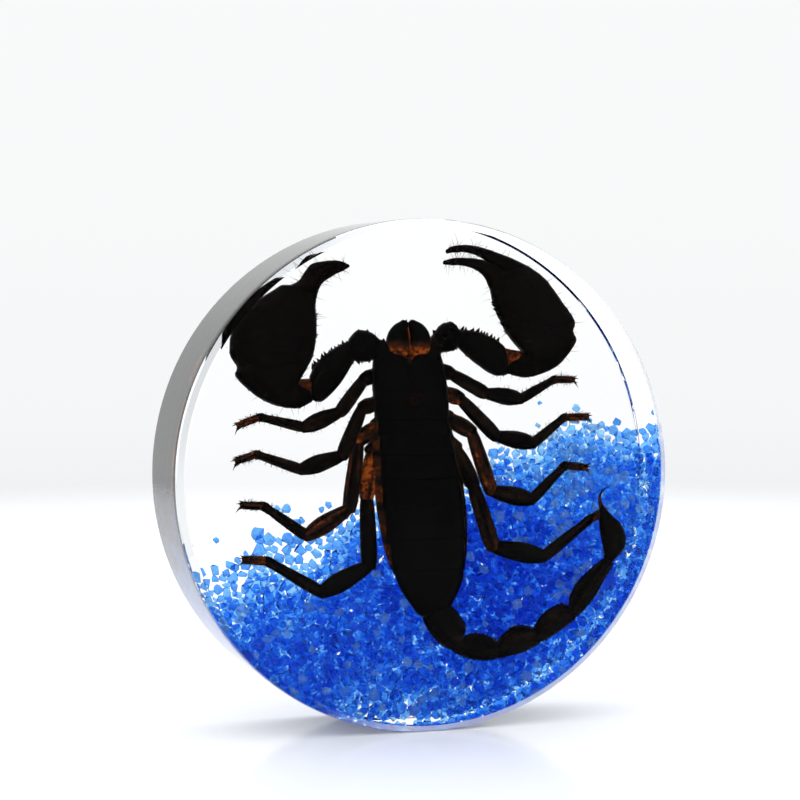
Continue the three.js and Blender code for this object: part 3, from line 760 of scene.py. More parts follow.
class Shells:
    """Closed shells that become one mesh, with a stain value on each point."""

    def __init__(self):
        self.points = []
        self.faces = []
        self.stains = []
        self.count = 0

    def add(self, points, faces, stain):
        """One closed shell, with its faces turned outwards."""
        if signed_volume(points, faces) < 0:
            faces = [tuple(reversed(f)) for f in faces]
        self.faces += [tuple(i + self.count for i in f) for f in faces]
        self.points.append(points)
        self.stains.append(np.broadcast_to(np.asarray(stain, float), (len(points),)))
        self.count += len(points)

    def loft(self, rings, stain, rough=0.0):
        """A skin over rings, with a fan at each end and a fine uneven surface."""
        rows, sides, _ = rings.shape
        points = np.vstack([rings.reshape(-1, 3), rings[0].mean(0), rings[-1].mean(0)])
        faces = grid_faces(rows, sides)
        first_end = rows * sides
        last_ring = first_end - sides
        for j in range(sides):
            k = (j + 1) % sides
            faces.append((first_end, k, j))
            faces.append((first_end + 1, last_ring + j, last_ring + k))
        if rough:
            out = points[:-2] - np.repeat(rings.mean(1), sides, axis=0)
            length = np.maximum(np.linalg.norm(out, axis=1, keepdims=True), TINY)
            lift = np.array([unevenness(p) for p in points[:-2]])
            points[:-2] += out / length * rough * lift[:, None]
        self.add(points, faces, stain)

    def cone(self, foot, way, radius, length, stain, sides=6, bend=None):
        """A tapering spine from a foot point, curved towards bend where one is given."""
        way = unit(np.asarray(way, float))
        lean = np.zeros(3) if bend is None else np.asarray(bend, float)
        shares = STRAIGHT_SHARES if bend is None else BENT_SHARES
        side = unit(np.cross(way, SPINE_REFERENCE))
        other = np.cross(way, side)
        turn = circle(sides)
        round_way = np.cos(turn)[:, None] * side + np.sin(turn)[:, None] * other
        rings = []
        for share in shares:
            middle = foot + way * length * share + lean * length * share**2
            rings.append(middle + radius * (1 - share * SPINE_TAPER) * round_way)
        tip = foot + way * length + lean * length
        points = np.vstack([*rings, tip, foot])
        faces = grid_faces(len(shares), sides)
        last_ring = (len(shares) - 1) * sides
        for j in range(sides):
            k = (j + 1) % sides
            faces.append((last_ring + j, last_ring + k, len(points) - 2))
            faces.append((k, j, len(points) - 1))
        self.add(points, faces, stain)

    def cover(self, stations, skin, stain=None):
        """A skin over stations, in its own stain or in given values."""
        self.loft(rings_of(stations, skin), skin.stain if stain is None else stain, skin.rough)

    def ball(self, middle, radii, stain, rows=8, sides=12):
        """An ellipsoid."""
        turns = np.linspace(-math.pi / 2, math.pi / 2, rows + 2)[1:-1]
        stations = np.zeros((rows, 7))
        stations[:, :3] = middle
        stations[:, 2] += radii[2] * np.sin(turns)
        stations[:, 3] = radii[0] * np.cos(turns)
        stations[:, 5] = radii[1] * np.cos(turns)
        stations[:, 6] = stations[:, 5]
        self.loft(rings_of(stations, Skin(sides)), stain)

    def build(self, name, material):
        """The shells as one smooth piece."""
        points = np.vstack(self.points)
        points[:, 2] += CENTRE_Z
        piece = add_piece(name, points, self.faces, [material], "stain", np.concatenate(self.stains))
        piece.data.polygons.foreach_set("use_smooth", [True] * len(self.faces))
        piece.data.update()
        return piece


def along(line, shares):
    """Points at shares of a line's length."""
    line = np.asarray(line, float)
    step = np.r_[0, np.cumsum(np.linalg.norm(np.diff(line, axis=0), axis=1))]
    reach = np.asarray(shares) * step[-1]
    return np.stack([np.interp(reach, step, column) for column in line.T], 1)


def profile_halves(table, shares):
    """A smooth half width through a table of share and half width."""
    dense = smooth(table, PROFILE_STEPS)
    return np.interp(shares, dense[:, 0], dense[:, 1])


def streaks(rows, sides, level, place):
    """Stain values over a loft, drawn out along its length, with one more for each end."""
    shift = Vector(place) * STREAK_SHIFT
    values = np.zeros((rows, sides))
    for i in range(rows):
        for j, turn in enumerate(circle(sides)):
            x = STREAK_RADIUS * math.cos(turn)
            y = STREAK_RADIUS * math.sin(turn)
            values[i, j] = noise.noise(Vector((x, y, STREAK_LENGTH * i / rows)) + shift)
    contrast = DARK_CONTRAST if level < DARK_LEVEL else PALE_CONTRAST
    values = level * np.clip(STREAK_BASE + contrast * values, *STREAK_LIMITS)
    return np.r_[values.ravel(), values[0].mean(), values[-1].mean()]


def skin_point(row, turn, lift=1.0):
    """The skin's point at an angle about a station, and the way out from there."""
    side = np.array([row[3], 0, row[4]])
    rise = np.array([0, -row[5], 0])
    foot = row[:3] + lift * (side * math.cos(turn) + rise * math.sin(turn))
    return foot, unit(side) * math.cos(turn) + unit(rise) * math.sin(turn)


def bumps(shells, stations, count, radius, height, stain, rng):
    """Low warts scattered over a limb."""
    root = radius * WART_ROOT
    for _ in range(count):
        row = stations[rng.integers(1, len(stations) - 1)]
        foot, out = skin_point(row, rng.uniform(0, 2 * math.pi))
        size = rng.uniform(*WART_SIZES)
        way = out + rng.normal(0, WART_LEAN, 3)
        shells.cone(foot - out * root, way, radius * size, (height + root) * size, stain)


def warts(shells, rows, kind, rng):
    """The warts of one form, over the smooth curve of its rows."""
    count, radius, height, steps, stain = WARTS[kind]
    bumps(shells, smooth(rows, steps), count, radius, height, stain, rng)


def stations_of(rows, skin):
    """Smooth stations through rows, with rounded ends."""
    return rounded(smooth(rows, skin.steps), skin.rounding)


def form(shells, rows, kind):
    """A closed form over rows, drawn with the skin of its kind."""
    stations = stations_of(rows, SKINS[kind])
    shells.cover(stations, SKINS[kind])
    return stations


def segment(shells, a, b, table, girth, stain, skin):
    """One limb segment between two joints, rounded at both ends."""
    way = unit(b - a)
    shares = np.linspace(0, 1, SEGMENT_RINGS)
    points = a - way * JOINT_LAP + shares[:, None] * (b - a + 2 * way * JOINT_LAP)
    halves = profile_halves(table, shares) * girth
    stations = rounded(spine_row(points, halves), SEGMENT_ROUNDING * table[-1][1] * girth)
    shells.cover(stations, skin, streaks(len(stations), skin.sides, stain, a))
    return stations


def carapace(shells, rng):
    """The head shield: its front edge dips in the middle, and a low furrow runs back from it."""
    skin = SKINS["carapace"]
    stations = stations_of(body_row(CARAPACE), skin)
    rings = rings_of(stations, skin)
    off = rings[:, :, 0] - stations[:, 0:1]
    dorsal = rings[:, :, 1] < BODY_Y + DORSAL_MARGIN
    front = np.clip((rings[:, :, 2] - NOTCH_START) / NOTCH_LENGTH, 0, 1)
    notch = NOTCH_DEPTH * front**2 * np.exp(-((off / NOTCH_WIDTH) ** 2))
    rings[:, :, 2] -= np.where(dorsal, notch, 0)
    fade = np.clip((FURROW_START - rings[:, :, 2]) / FURROW_FADE, 0, 1)
    furrow = FURROW_DEPTH * np.exp(-((off / FURROW_WIDTH) ** 2)) * fade
    rings[:, :, 1] += np.where(dorsal, furrow, 0)
    shells.loft(rings, skin.stain, skin.rough)
    warts(shells, body_row(CARAPACE), "carapace", rng)


def eyes(shells):
    """Two eyes on a low mound, each in a pale ring, and three small ones at each front corner."""
    shells.ball(EYE_MOUND, EYE_MOUND_RADII, SKINS["carapace"].stain, rows=10, sides=20)
    for x, z in EYES:
        shells.ball((x, EYE_Y, z), EYE_RADII, EYE_STAIN, rows=10, sides=16)
        for turn in circle(EYE_RING_BEADS):
            bead_x = x + EYE_RING_RADIUS * math.cos(turn)
            bead_z = z + EYE_RING_RADIUS * math.sin(turn)
            shells.ball((bead_x, EYE_RING_Y, bead_z), BEAD_RADII, EYE_RING_STAIN, rows=5, sides=8)
    for side in (-1, 1):
        for reach, z in SIDE_EYES:
            shells.ball((SIDE_EYE_MIDDLE + side * reach, SIDE_EYE_Y, z), SIDE_EYE_RADII, EYE_STAIN)


def plates(shells, rng):
    """Back plates: each one rises towards its rear lip, which stands over the next."""
    for first, second in zip(PLATES, PLATES[1:]):
        a, b = np.array(first), np.array(second)
        rows = []
        for share, drop in PLATE_ROWS:
            row = a + (b - a) * share
            row[2:] -= drop * np.array(PLATE_DROP)
            rows.append(row)
        stations = form(shells, body_row(rows), "plate")
        bumps(shells, stations[PLATE_WART_ROWS], *PLATE_WARTS, rng)
    form(shells, body_row(LAST_PLATE), "last_plate")


def flank(shells):
    """Soft skin between the back plates and the belly plates, darker at the plates' edges."""
    skin = SKINS["flank"]
    stations = stations_of(body_row(FLANK), skin)
    creases = np.array([row[1] for row in PLATES])
    gap = np.abs(stations[:, 2:3] - creases).min(1)
    side = np.where(np.cos(circle(skin.sides)) < 0, *FLANK_STAINS)
    stain = np.clip(gap / CREASE_REACH, CREASE_SHADE, 1)[:, None] * side
    shells.cover(stations, skin, np.r_[stain.ravel(), FLANK_END_STAIN, FLANK_END_STAIN])


def seam(shells):
    """The pale line between the jaws."""
    skin = SKINS["seam"]
    line = np.linspace(*SEAM_ENDS, SEAM_RINGS)
    shells.cover(rounded(spine_row(line, np.full(SEAM_RINGS, SEAM_HALF)), skin.rounding), skin)


def jaws(shells):
    """Two jaws, amber at the root and dark at the tip, with two teeth each."""
    skin = SKINS["jaw"]
    for table in JAWS:
        rows = smooth(table, skin.steps)
        points = at_depth(rows, JAW_Y)
        stations = rounded(spine_row(points, rows[:, 2]), skin.rounding)
        amber = np.clip((JAW_AMBER_TOP - stations[:, 2]) / JAW_AMBER_FADE, 0, 1)
        stain = amber * JAW_AMBER + JAW_DARK
        shells.cover(stations, skin, np.r_[np.repeat(stain, skin.sides), stain[0], stain[-1]])
        tip = points[-1]
        inward = JAW_MEETING_X - tip[0]
        for shift, lean, back, radius, length in JAW_TEETH:
            way = (inward * lean, back, 1.0)
            bend = (inward * JAW_TOOTH_BEND, 0, 0)
            shells.cone(tip + shift, way, radius, length, JAW_TOOTH_STAIN, bend=bend)


def underside(shells):
    """Hip plates, breast plate and combs, which show from the back of the disc."""
    hip = SKINS["hip"]
    for joints, girth, _ in LEGS:
        a = np.array([joints[0][0], HIP_INNER_Y, joints[0][1]])
        b = np.array([joints[1][0], HIP_OUTER_Y, joints[1][1]])
        segment(shells, a, b, HIP_PROFILE, girth, hip.stain, hip)
    shells.ball(BREAST, BREAST_RADII, BREAST_STAIN, rows=10, sides=16)
    comb = SKINS["comb"]
    for side in (-1, 1):
        a, b = [np.array([middle + side * reach, y, z]) for middle, reach, y, z in COMB_ENDS]
        segment(shells, a, b, COMB_PROFILE, 1.0, comb.stain, comb)
        for k in range(COMB_TEETH):
            foot = a + (b - a) * (COMB_TOOTH_START + COMB_TOOTH_STEP * k) + COMB_TOOTH_SHIFT
            way = (COMB_TOOTH_OUT * side, COMB_TOOTH_BACK, -1.0)
            length = COMB_TOOTH_LENGTH - COMB_TOOTH_LOSS * k
            shells.cone(foot, way, COMB_TOOTH_RADIUS, length, COMB_TOOTH_STAIN)


def teeth(shells, line, count, scale, way, rng):
    """A row of uneven teeth along an edge."""
    for x, z in along(line, np.linspace(0, 1, count)):
        size = rng.uniform(*TOOTH_SIZES) * scale
        foot = np.array([x, ARM_Y - rng.uniform(*TOOTH_DEPTHS), z]) - way * TOOTH_ROOT
        spread = way + rng.normal(0, TOOTH_SPREAD, 3)
        shells.cone(foot, spread, TOOTH_RADIUS * size, TOOTH_LENGTH * size, TOOTH_STAIN)


def arms(shells, rng):
    """Both arms with their hands, fingers, warts and teeth."""
    for arm in ARMS:
        for name in ("trochanter", "femur", "patella", "joint"):
            form(shells, rib_row(arm[name], ARM_Y), name)
        for name in ("trochanter", "femur", "patella"):
            warts(shells, rib_row(arm[name], ARM_Y), name, rng)
        form(shells, rib_row(arm["hand"], ARM_Y), "hand")
        warts(shells, rib_row(arm["hand"], ARM_Y), "hand", rng)
        for ribs in arm["fingers"]:
            form(shells, rib_row(ribs, ARM_Y), "finger")
            warts(shells, rib_row(ribs, ARM_Y), "finger", rng)
        lean_x, lean_z = arm["lean"]
        teeth(shells, arm["palm_teeth"], *PALM_TEETH, np.array([lean_x, 0, lean_z]), rng)
        teeth(shells, arm["arm_teeth"], *ARM_TEETH, np.array([-lean_x * ARM_TOOTH_LEAN, 0, 1.0]), rng)


def leg_points(joints):
    """The joints of a leg in space."""
    return [np.array([x, y, z]) for (x, z), y in zip(joints, LEG_Y)]


def foot(shells, ankle, tip, rng):
    """Two claws, two spurs and a brush of bristles on the last segment of a leg."""
    way = unit(tip - ankle)
    side = np.array([-way[2], 0, way[0]])
    down = side * -np.sign(side[2])
    bend = down * CLAW_DROP + np.array([0, CLAW_LEAN, 0])
    for fork in (-1, 1):
        out = way + side * CLAW_FORK * fork
        shells.cone(tip - way * CLAW_ROOT, out, CLAW_RADIUS, CLAW_LENGTH, CLAW_STAIN, bend=bend)
    for _ in range(BRUSH_COUNT):
        root = ankle + (tip - ankle) * (1 - BRUSH_REACH * rng.uniform(0.0, 1.0) ** 2)
        across = side * rng.choice((-1, 1)) * rng.uniform(*BRUSH_ACROSS)
        out = across + np.array([0, rng.uniform(*BRUSH_DEPTHS), 0])
        lean = out * BRUSH_OUTWARD + way * BRUSH_FORWARD
        length = rng.uniform(*BRUSH_LENGTHS)
        shells.cone(root + out * BRUSH_ROOT, lean, BRUSH_RADIUS, length, BRUSH_STAIN, sides=4)
    for fork in (-1, 1):
        out = way * SPUR_FORWARD + side * SPUR_FORK * fork
        shells.cone(ankle + side * SPUR_OUT * fork, out, SPUR_RADIUS, SPUR_LENGTH, SPUR_STAIN)


def legs(shells, rng):
    """Eight jointed legs with warts and feet."""
    for joints, girth, stains in LEGS:
        points = leg_points(joints)
        for i, (profile, kind, warty, _) in enumerate(LEG_SEGMENTS):
            a, b = points[i + 1], points[i + 2]
            stations = segment(shells, a, b, profile, girth, stains[i], SKINS[kind])
            if warty:
                bumps(shells, stations[LEG_WART_ROWS], *LEG_WARTS, stains[i], rng)
        foot(shells, points[-2], points[-1], rng)


def tail(shells, rng):
    """Five keeled segments with rows of small spines, the bulb and the sting."""
    skin = SKINS["tail"]
    for ribs in TAIL:
        rows = rib_row(ribs, BODY_Y)
        stations = stations_of(rows, skin)
        shells.cover(stations, skin, streaks(len(stations), skin.sides, skin.stain, stations[0, :3]))
        for angle in TAIL_KEELS[:SPINY_KEELS]:
            for row in smooth(rows, SPINE_STEPS)[1:-1]:
                root, out = skin_point(row, math.radians(angle), SPINE_LIFT)
                size = rng.uniform(*SPINE_SIZES)
                way = out + rng.normal(0, SPINE_LEAN, 3)
                radius, length = SPINE_RADIUS * size, SPINE_LENGTH * size
                shells.cone(root - out * SPINE_ROOT, way, radius, length, SPINE_STAIN, sides=5)
    form(shells, rib_row(TELSON, BODY_Y), "telson")
    skin = SKINS["sting"]
    rows = smooth(STING, skin.steps)
    stations = spine_row(at_depth(rows, BODY_Y), np.maximum(rows[:, 2], STING_THINNEST))
    stain = np.linspace(*STING_STAINS, len(rows))
    shells.cover(stations, skin, np.r_[np.repeat(stain, skin.sides), STING_STAINS])


def scorpion_pieces(material, rng):
    """The animal in two meshes: trunk and tail, then arms and legs."""
    body = Shells()
    limbs = Shells()
    carapace(body, rng)
    eyes(body)
    plates(body, rng)
    flank(body)
    seam(body)
    jaws(body)
    underside(body)
    arms(limbs, rng)
    legs(limbs, rng)
    tail(body, rng)
    return [body.build("scorpion_body", material), limbs.build("scorpion_limbs", material)]


def hair_spots():
    """Stations that carry hairs, with the count and the greatest length."""
    spots = []
    for arm in ARMS:
        for name, count, longest in ARM_HAIRS:
            spots.append((smooth(rib_row(arm[name], ARM_Y), ARM_HAIR_STEPS), count, longest))
        for ribs in arm["fingers"]:
            spots.append((smooth(rib_row(ribs, ARM_Y), ARM_HAIR_STEPS), *FINGER_HAIRS))
    shares = np.linspace(0, 1, LEG_HAIR_RINGS)
    for joints, girth, _ in LEGS:
        points = leg_points(joints)
        for i, (profile, _, _, count) in enumerate(LEG_SEGMENTS):
            a, b = points[i + 1], points[i + 2]
            halves = profile_halves(profile, shares) * girth
            spots.append((spine_row(a + shares[:, None] * (b - a), halves), count, LEG_HAIR_LENGTH))
    for ribs in TAIL:
        spots.append((smooth(rib_row(ribs, BODY_Y), TAIL_HAIR_STEPS), *TAIL_HAIRS))
    spots.append((smooth(rib_row(TELSON, BODY_Y), TAIL_HAIR_STEPS), *TELSON_HAIRS))
    return spots


def hairs_piece(material, rng):
    """Fine bristles on the hands, the arms, the outer leg segments and the tail."""
    shells = Shells()
    for stations, count, longest in hair_spots():
        for _ in range(count):
            row = stations[rng.integers(1, len(stations) - 1)]
            turn = rng.choice((0.0, math.pi)) + rng.normal(0, HAIR_SPREAD)
            root, out = skin_point(row, turn)
            way = out + rng.normal(0, HAIR_LEAN, 3)
            length = longest * rng.uniform(HAIR_SHORTEST, 1.0)
            bend = rng.normal(0, HAIR_BEND, 3)
            shells.cone(root - out * HAIR_ROOT, way, HAIR_RADIUS, length, HAIR_STAIN, sides=3, bend=bend)
    return shells.build("scorpion_bristles", material)


def disc_piece(material, satin):
    """The clear casting: flat faces, a stepped bevel in front and a small flat to stand on."""
    half = DISC_THICKNESS / 2
    profile = [(DISC_RADIUS - inset, -half + depth) for inset, depth in FRONT_BEVEL]
    profile += [(DISC_RADIUS - inset, half - depth) for inset, depth in reversed(BACK_BEVEL)]
    turn = circle(DISC_SEGMENTS)
    sin, cos = np.sin(turn), np.cos(turn)
    points = np.vstack([np.column_stack([r * sin, np.full_like(turn, y), -r * cos]) for r, y in profile])
    points[:, 2] = np.maximum(points[:, 2], -CENTRE_Z) + CENTRE_Z
    faces = [(a, d, c, b) for a, b, c, d in grid_faces(len(profile), DISC_SEGMENTS)]
    side_faces = len(faces)
    last_ring = len(points) - DISC_SEGMENTS
    faces.append(tuple(range(DISC_SEGMENTS)))
    faces.append(tuple(last_ring + j for j in reversed(range(DISC_SEGMENTS))))
    gap = np.abs(np.degrees(turn) - POLISHED_MIDDLE)
    scuff = np.tile(np.clip((gap - POLISHED_HALF) / POLISHED_FADE, 0, 1), len(profile))
    piece = add_piece("resin_disc", points, faces, [material, satin], "scuff", scuff)
    mesh = piece.data
    mesh.polygons.foreach_set("use_smooth", [i < side_faces for i in range(len(faces))])
    for edge in mesh.edges:
        a, b = edge.vertices
        edge.use_edge_sharp = a // DISC_SEGMENTS == b // DISC_SEGMENTS
    first = SATIN_ROW * DISC_SEGMENTS
    for face in mesh.polygons[first:first + DISC_SEGMENTS]:
        face.material_index = 1
    mesh.update()
    return piece


def chips(rng):
    """Angular grain shapes: points and triangles of hulls round scattered points."""
    made = []
    for _ in range(GRAIN_SHAPES):
        spots = rng.normal(size=(CHIP_POINTS, 3))
        spots /= np.linalg.norm(spots, axis=1, keepdims=True)
        spots *= rng.uniform(*CHIP_REACH, (CHIP_POINTS, 1)) * rng.uniform(*CHIP_STRETCH, 3)
        work = bmesh.new()
        for spot in spots:
            work.verts.new(spot)
        bmesh.ops.convex_hull(work, input=work.verts)
        loose = [v for v in work.verts if not v.link_faces]
        bmesh.ops.delete(work, geom=loose, context="VERTS")
        bmesh.ops.triangulate(work, faces=work.faces)
        work.verts.index_update()
        points = np.array([v.co for v in work.verts])
        faces = [tuple(v.index for v in f.verts) for f in work.faces]
        work.free()
        if signed_volume(points, faces) < 0:
            faces = [f[::-1] for f in faces]
        made.append((points, np.array(faces)))
    return made


def bed_limits(x, z):
    """Front of the bed at x and z, and how far below its top edge that is."""
    top = np.array(BED_TOP)
    below = np.interp(x, top[:, 0], top[:, 1]) - z
    slope = np.interp(x, top[:, 0], top[:, 2])
    share = np.clip(below / slope, 0, 1)
    full = BED_BACK_Y - BED_FRONT_Y
    thick = BED_EDGE_THICKNESS + (full - BED_EDGE_THICKNESS) * share**2 * (3 - 2 * share)
    return BED_BACK_Y - thick, below


def drawn_in(points, limit):
    """Points moved towards the disc's axis where they are farther from it than the limit."""
    reach = np.hypot(points[:, 0], points[:, 2])
    points[:, (0, 2)] *= np.minimum(1, limit / np.maximum(reach, TINY))[:, None]


def scattered(rng):
    """Middles of grains spread at random over the bed."""
    middles = np.zeros((0, 3))
    while len(middles) < GRAIN_COUNT:
        trial = rng.uniform(TRIAL_LOW, TRIAL_HIGH, (TRIALS, 3))
        front, below = bed_limits(trial[:, 0], trial[:, 2])
        in_disc = np.hypot(trial[:, 0], trial[:, 2]) < BED_RADIUS - TRIAL_MARGIN
        inside = (below > TRIAL_DEPTH) & (trial[:, 1] > front) & in_disc
        middles = np.vstack([middles, trial[inside]])[:GRAIN_COUNT]
    return middles


def shake(middles, radii):
    """One step that moves close grains apart and keeps them inside the bed."""
    tree = kdtree.KDTree(len(middles))
    for i, middle in enumerate(middles):
        tree.insert(middle, i)
    tree.balance()
    push = np.zeros_like(middles)
    for i, middle in enumerate(middles):
        for other, j, gap in tree.find_range(middle, radii[i] + GRAIN_LARGE):
            want = (radii[i] + radii[j]) * PACK_CLOSENESS
            if j != i and gap < want:
                away = (middle - np.array(other)) / max(gap, TINY)
                push[i] += away * (want - gap) * PACK_PUSH
    size = np.linalg.norm(push, axis=1, keepdims=True)
    middles += push * np.minimum(1, PACK_STEP / np.maximum(size, TINY))
    wall = radii * GRAIN_WALL_SHARE
    drawn_in(middles, BED_RADIUS - wall)
    front, below = bed_limits(middles[:, 0], middles[:, 2])
    middles[:, 2] -= np.clip(PACK_TOP_GAP - below, 0, PACK_TOP_STEP)
    middles[:, 1] = np.clip(middles[:, 1], front + wall, BED_BACK_Y - wall)


def packed_grains(rng):
    """Middles and radii of grains, shaken apart inside the bed, and of the loose ones above it."""
    radii = GRAIN_SMALL + (GRAIN_LARGE - GRAIN_SMALL) * rng.beta(*GRAIN_SPREAD, GRAIN_COUNT)
    middles = scattered(rng)
    for _ in range(PACK_ROUNDS):
        shake(middles, radii)
    loose = np.array(LOOSE_GRAINS)
    loose_middles = at_depth(loose, BED_BACK_Y - LOOSE_DEPTH)
    return np.vstack([middles, loose_middles]), np.r_[radii, loose[:, 2]]


def patch(middles, place):
    """A soft round patch of the bed: one at its middle, falling to nought around it."""
    x, z, spread = place
    return np.exp(-((middles[:, 0] - x) ** 2 + (middles[:, 2] - z) ** 2) / spread)


def grain_looks(middles, radii, rng):
    """The tint of each grain, and which grains near the front of the bed are milky."""
    front, below = bed_limits(middles[:, 0], middles[:, 2])
    near_front = middles[:, 1] - radii - front < FRONT_LAYER
    # Painted reflection: grains under a whitish veil on the right of the bed are made paler, and more of
    # them milky.
    reflection = patch(middles, REFLECTION_PATCH)
    share = PALE_SHARE * (below > PALE_DEPTH) + REFLECTION_SHARE * reflection
    pale = near_front & (rng.uniform(size=len(middles)) < share)
    deep = np.clip(below / DEEP_REACH, 0, 1)
    tint = TINT_BASE + TINT_SPREAD * rng.beta(2, 2, len(middles)) + TINT_DEEP * deep
    # Painted shade: grains behind the tail are darkened.
    tint -= PAINTED_SHADE_TINT * patch(middles, PAINTED_SHADE)
    tint += REFLECTION_TINT * reflection
    milky = rng.uniform(*MILKY_TINTS, len(middles))
    return np.clip(np.where(pale, milky, tint), 0, 1), pale


def grain_pieces(clear, milky, rng):
    """Angular grains, each turned its own way, gathered in two meshes."""
    middles, radii = packed_grains(rng)
    shapes = chips(rng)
    tint, pale = grain_looks(middles, radii, rng)
    pieces = []
    for part, chosen in enumerate(np.array_split(np.argsort(middles[:, 0]), 2), 1):
        points, faces, tints, slots, count = [], [], [], [], 0
        for i in chosen:
            spots, triangles = shapes[rng.integers(len(shapes))]
            turn, _ = np.linalg.qr(rng.normal(size=(3, 3)))
            turn *= np.sign(np.linalg.det(turn))
            points.append(middles[i] + spots @ turn.T * radii[i])
            faces.append(triangles + count)
            tints.append(np.full(len(spots), tint[i]))
            slots.append(np.full(len(triangles), int(pale[i])))
            count += len(spots)
        points = np.vstack(points)
        drawn_in(points, DISC_RADIUS - GRAIN_RIM_GAP)
        points[:, 1] = np.minimum(points[:, 1], DISC_THICKNESS / 2 - GRAIN_BACK_GAP)
        points[:, 2] = np.maximum(points[:, 2] + CENTRE_Z, GRAIN_FLOOR)
        name = "blue_granules_%d" % part
        triangles = np.vstack(faces).tolist()
        piece = add_piece(name, points, triangles, [clear, milky], "tint", np.concatenate(tints))
        piece.data.polygons.foreach_set("material_index", np.concatenate(slots).astype(np.int32))
        piece.data.update()
        pieces.append(piece)
    return pieces


def set_inputs(node, values):
    """Values on a node's own inputs."""
    for name, value in values.items():
        node.inputs[name].default_value = value


def feed(node, sources):
    """Outputs of other nodes linked to a node's inputs."""
    for name, source in sources.items():
        node.id_data.links.new(source, node.inputs[name])


def new_material(name, values):
    """A material with values on its shader."""
    material = bpy.data.materials.new(name)
    material.use_nodes = True
    tree = material.node_tree
    shader = tree.nodes["Principled BSDF"]
    set_inputs(shader, values)
    return material, tree, shader


def point_layer(tree, name):
    """The value that a mesh's points carry under a name."""
    node = tree.nodes.new("ShaderNodeAttribute")
    node.attribute_name = name
    return node.outputs["Fac"]


def noise_field(tree, scale, detail=2.0, roughness=0.5):
    """Noise over a piece's own coordinates."""
    place = tree.nodes.new("ShaderNodeTexCoord")
    node = tree.nodes.new("ShaderNodeTexNoise")
    set_inputs(node, {"Scale": scale, "Detail": detail, "Roughness": roughness})
    feed(node, {"Vector": place.outputs["Object"]})
    return node.outputs["Fac"]


def carried(tree, source, target, span=(0.0, 1.0)):
    """A value carried from its span to a target span."""
    node = tree.nodes.new("ShaderNodeMapRange")
    set_inputs(node, {"From Min": span[0], "From Max": span[1], "To Min": target[0], "To Max": target[1]})
    feed(node, {"Value": source})
    return node.outputs["Result"]


def combined(tree, operation, first, second):
    """Two values added or multiplied."""
    node = tree.nodes.new("ShaderNodeMath")
    node.operation = operation
    feed(node, {0: first, 1: second})
    return node.outputs["Value"]


def ramp(tree, source, stops):
    """A colour for each value, between stops of place and colour."""
    node = tree.nodes.new("ShaderNodeValToRGB")
    while len(node.color_ramp.elements) < len(stops):
        node.color_ramp.elements.new(0.5)
    for element, (place, colour) in zip(node.color_ramp.elements, stops):
        element.position = place
        element.color = (*colour, 1)
    feed(node, {"Fac": source})
    return node.outputs["Color"]


def resin_material(name):
    """Clear resin with a weak absorption."""
    material, tree, _ = new_material(name, RESIN)
    soak = tree.nodes.new("ShaderNodeVolumeAbsorption")
    set_inputs(soak, RESIN_ABSORPTION)
    feed(tree.nodes["Material Output"], {"Volume": soak.outputs["Volume"]})
    return material


def satin_material():
    """Resin that is dulled where the edge was ground, by the scuff value."""
    material = resin_material("satin_resin")
    tree = material.node_tree
    scuff = point_layer(tree, "scuff")
    levels = {name: carried(tree, scuff, polished_to_dull) for name, polished_to_dull in SATIN.items()}
    feed(tree.nodes["Principled BSDF"], levels)
    return material


def cuticle_material():
    """Black shell that shows amber where it is thin: at joints, hips and flanks."""
    material, tree, shader = new_material("cuticle", {"Specular IOR Level": 0.01})
    patches = noise_field(tree, 620.0, 6.0, 0.68)
    pits = noise_field(tree, 1900.0, 3.0)
    mottle = carried(tree, patches, (0.55, 1.25), (0.4, 0.66))
    specks = carried(tree, pits, (0.55, 1.3), (0.35, 0.65))
    mottled = combined(tree, "MULTIPLY", point_layer(tree, "stain"), mottle)
    speckled = combined(tree, "MULTIPLY", mottled, specks)
    bump = tree.nodes.new("ShaderNodeBump")
    set_inputs(bump, {"Strength": 0.2, "Distance": 0.0001})
    feed(bump, {"Height": pits})
    colour = ramp(tree, speckled, CUTICLE_COLOURS)
    rough = carried(tree, patches, (0.3, 0.5))
    feed(shader, {"Base Color": colour, "Roughness": rough, "Normal": bump.outputs["Normal"]})
    return material


def bristle_material():
    """Brown hairs of uneven shade."""
    material, tree, shader = new_material("bristles", {"Roughness": 0.45})
    feed(shader, {"Base Color": ramp(tree, noise_field(tree, 300.0), BRISTLE_COLOURS)})
    return material


def grain_material(name, transmission):
    """Blue crystals: light passes and takes on colour, and some of it is scattered."""
    looks = {"IOR": CRYSTAL_IOR, "Transmission Weight": transmission}
    material, tree, shader = new_material(name, looks)
    scuffs = noise_field(tree, 1500.0)
    clouds = carried(tree, scuffs, (-0.12, 0.12), (0.3, 0.7))
    cloudy = combined(tree, "ADD", point_layer(tree, "tint"), clouds)
    rough = carried(tree, scuffs, (0.03, 0.2))
    feed(shader, {"Base Color": ramp(tree, cloudy, GRAIN_COLOURS), "Roughness": rough})
    return material


def floor_material():
    """A pale table top that fades out with distance."""
    material, tree, shader = new_material("floor", FLOOR_LOOKS)
    place = tree.nodes.new("ShaderNodeTexCoord")
    distance = tree.nodes.new("ShaderNodeVectorMath")
    distance.operation = "LENGTH"
    feed(distance, {0: place.outputs["Object"]})
    fade = carried(tree, distance.outputs["Value"], (1.0, 0.0), FLOOR_FADE)
    fade.node.interpolation_type = "SMOOTHSTEP"
    feed(shader, {"Alpha": fade})
    return material


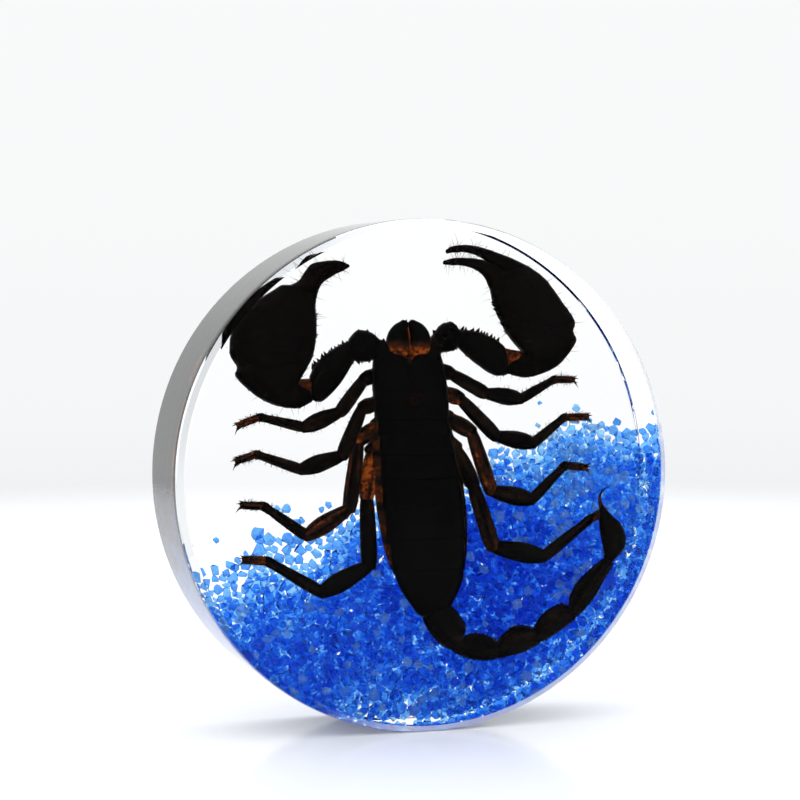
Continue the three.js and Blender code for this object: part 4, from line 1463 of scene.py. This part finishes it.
def floor_piece():
    """A round table top whose far edge melts into the backdrop."""
    turn = circle(FLOOR_SIDES)
    depth = np.full(FLOOR_SIDES, -FLOOR_GAP)
    rings = [np.stack([r * np.cos(turn), r * np.sin(turn), depth], 1) for r in FLOOR_RINGS]
    points = np.vstack([(0, 0, -FLOOR_GAP), *rings])
    faces = [(0, 1 + j, 1 + (j + 1) % FLOOR_SIDES) for j in range(FLOOR_SIDES)]
    for a, b, c, d in grid_faces(len(FLOOR_RINGS), FLOOR_SIDES):
        faces.append((a + 1, d + 1, c + 1, b + 1))
    add_piece("floor", points, faces, [floor_material()])


def backdrop():
    """A white tent that is brightest overhead."""
    world = bpy.data.worlds.new("studio")
    bpy.context.scene.world = world
    world.use_nodes = True
    tree = world.node_tree
    place = tree.nodes.new("ShaderNodeTexCoord")
    split = tree.nodes.new("ShaderNodeSeparateXYZ")
    feed(split, {"Vector": place.outputs["Generated"]})
    height = carried(tree, split.outputs["Z"], (0.0, 1.0), BACKDROP_SPAN)
    feed(tree.nodes["Background"], {"Color": ramp(tree, height, BACKDROP_COLOURS)})


def turned(degrees, axis):
    """A rotation about one axis."""
    return Matrix.Rotation(math.radians(degrees), 4, axis)


def panel_light():
    """A faint round panel close behind the disc, seen only through it."""
    panel = bpy.data.lights.new("panel", "AREA")
    panel.shape = "DISK"
    panel.size = PANEL_SIZE
    panel.energy = PANEL_RADIANCE * math.pi * math.pi * PANEL_SIZE**2 / 4
    lamp = add_object("panel", panel)
    lamp.matrix_world = Matrix.Translation(PANEL_PLACE) @ turned(-90, "X")
    lamp.visible_camera = False
    lamp.visible_glossy = False
    lamp.visible_diffuse = False


def light_paths():
    """Plain colours, and enough bounces for light to cross the grains."""
    scene = bpy.context.scene
    scene.view_settings.view_transform = "Standard"
    scene.view_settings.look = "None"
    scene.cycles.max_bounces = 32
    scene.cycles.transmission_bounces = 32
    scene.cycles.transparent_max_bounces = 16


def camera():
    """The photograph's camera, to the left of the disc and a little above its middle."""
    stand = turned(-CAMERA_TURN, "Z") @ turned(90 - CAMERA_RISE, "X")
    aim = turned(CAMERA_YAW, "Y") @ turned(CAMERA_PITCH, "X") @ turned(-CAMERA_ROLL, "Z")
    back = stand.to_3x3() @ Vector((0, 0, 1))
    front = Vector((0, -DISC_THICKNESS / 2, CENTRE_Z))
    data = bpy.data.cameras.new("camera")
    data.lens = CAMERA_LENS
    data.sensor_width = CAMERA_SENSOR
    data.clip_start = CAMERA_CLIP
    item = add_object("camera", data)
    item.matrix_world = Matrix.Translation((front + back * CAMERA_DISTANCE) * MM) @ stand @ aim
    bpy.context.scene.camera = item


rng = np.random.default_rng(SEED)
disc = disc_piece(resin_material("clear_resin"), satin_material())
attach(disc, "root")
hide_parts("resin_front", "resin_back")

for part in scorpion_pieces(cuticle_material(), rng):
    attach(part, "root")
    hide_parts("scorpion")

bristles = hairs_piece(bristle_material(), rng)
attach(bristles, "root")

crystals = [grain_material(name, transmission) for name, transmission in CRYSTALS]
for grains in grain_pieces(*crystals, rng):
    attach(grains, "root")
    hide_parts("blue_granules")

floor_piece()
backdrop()
panel_light()
light_paths()
camera()
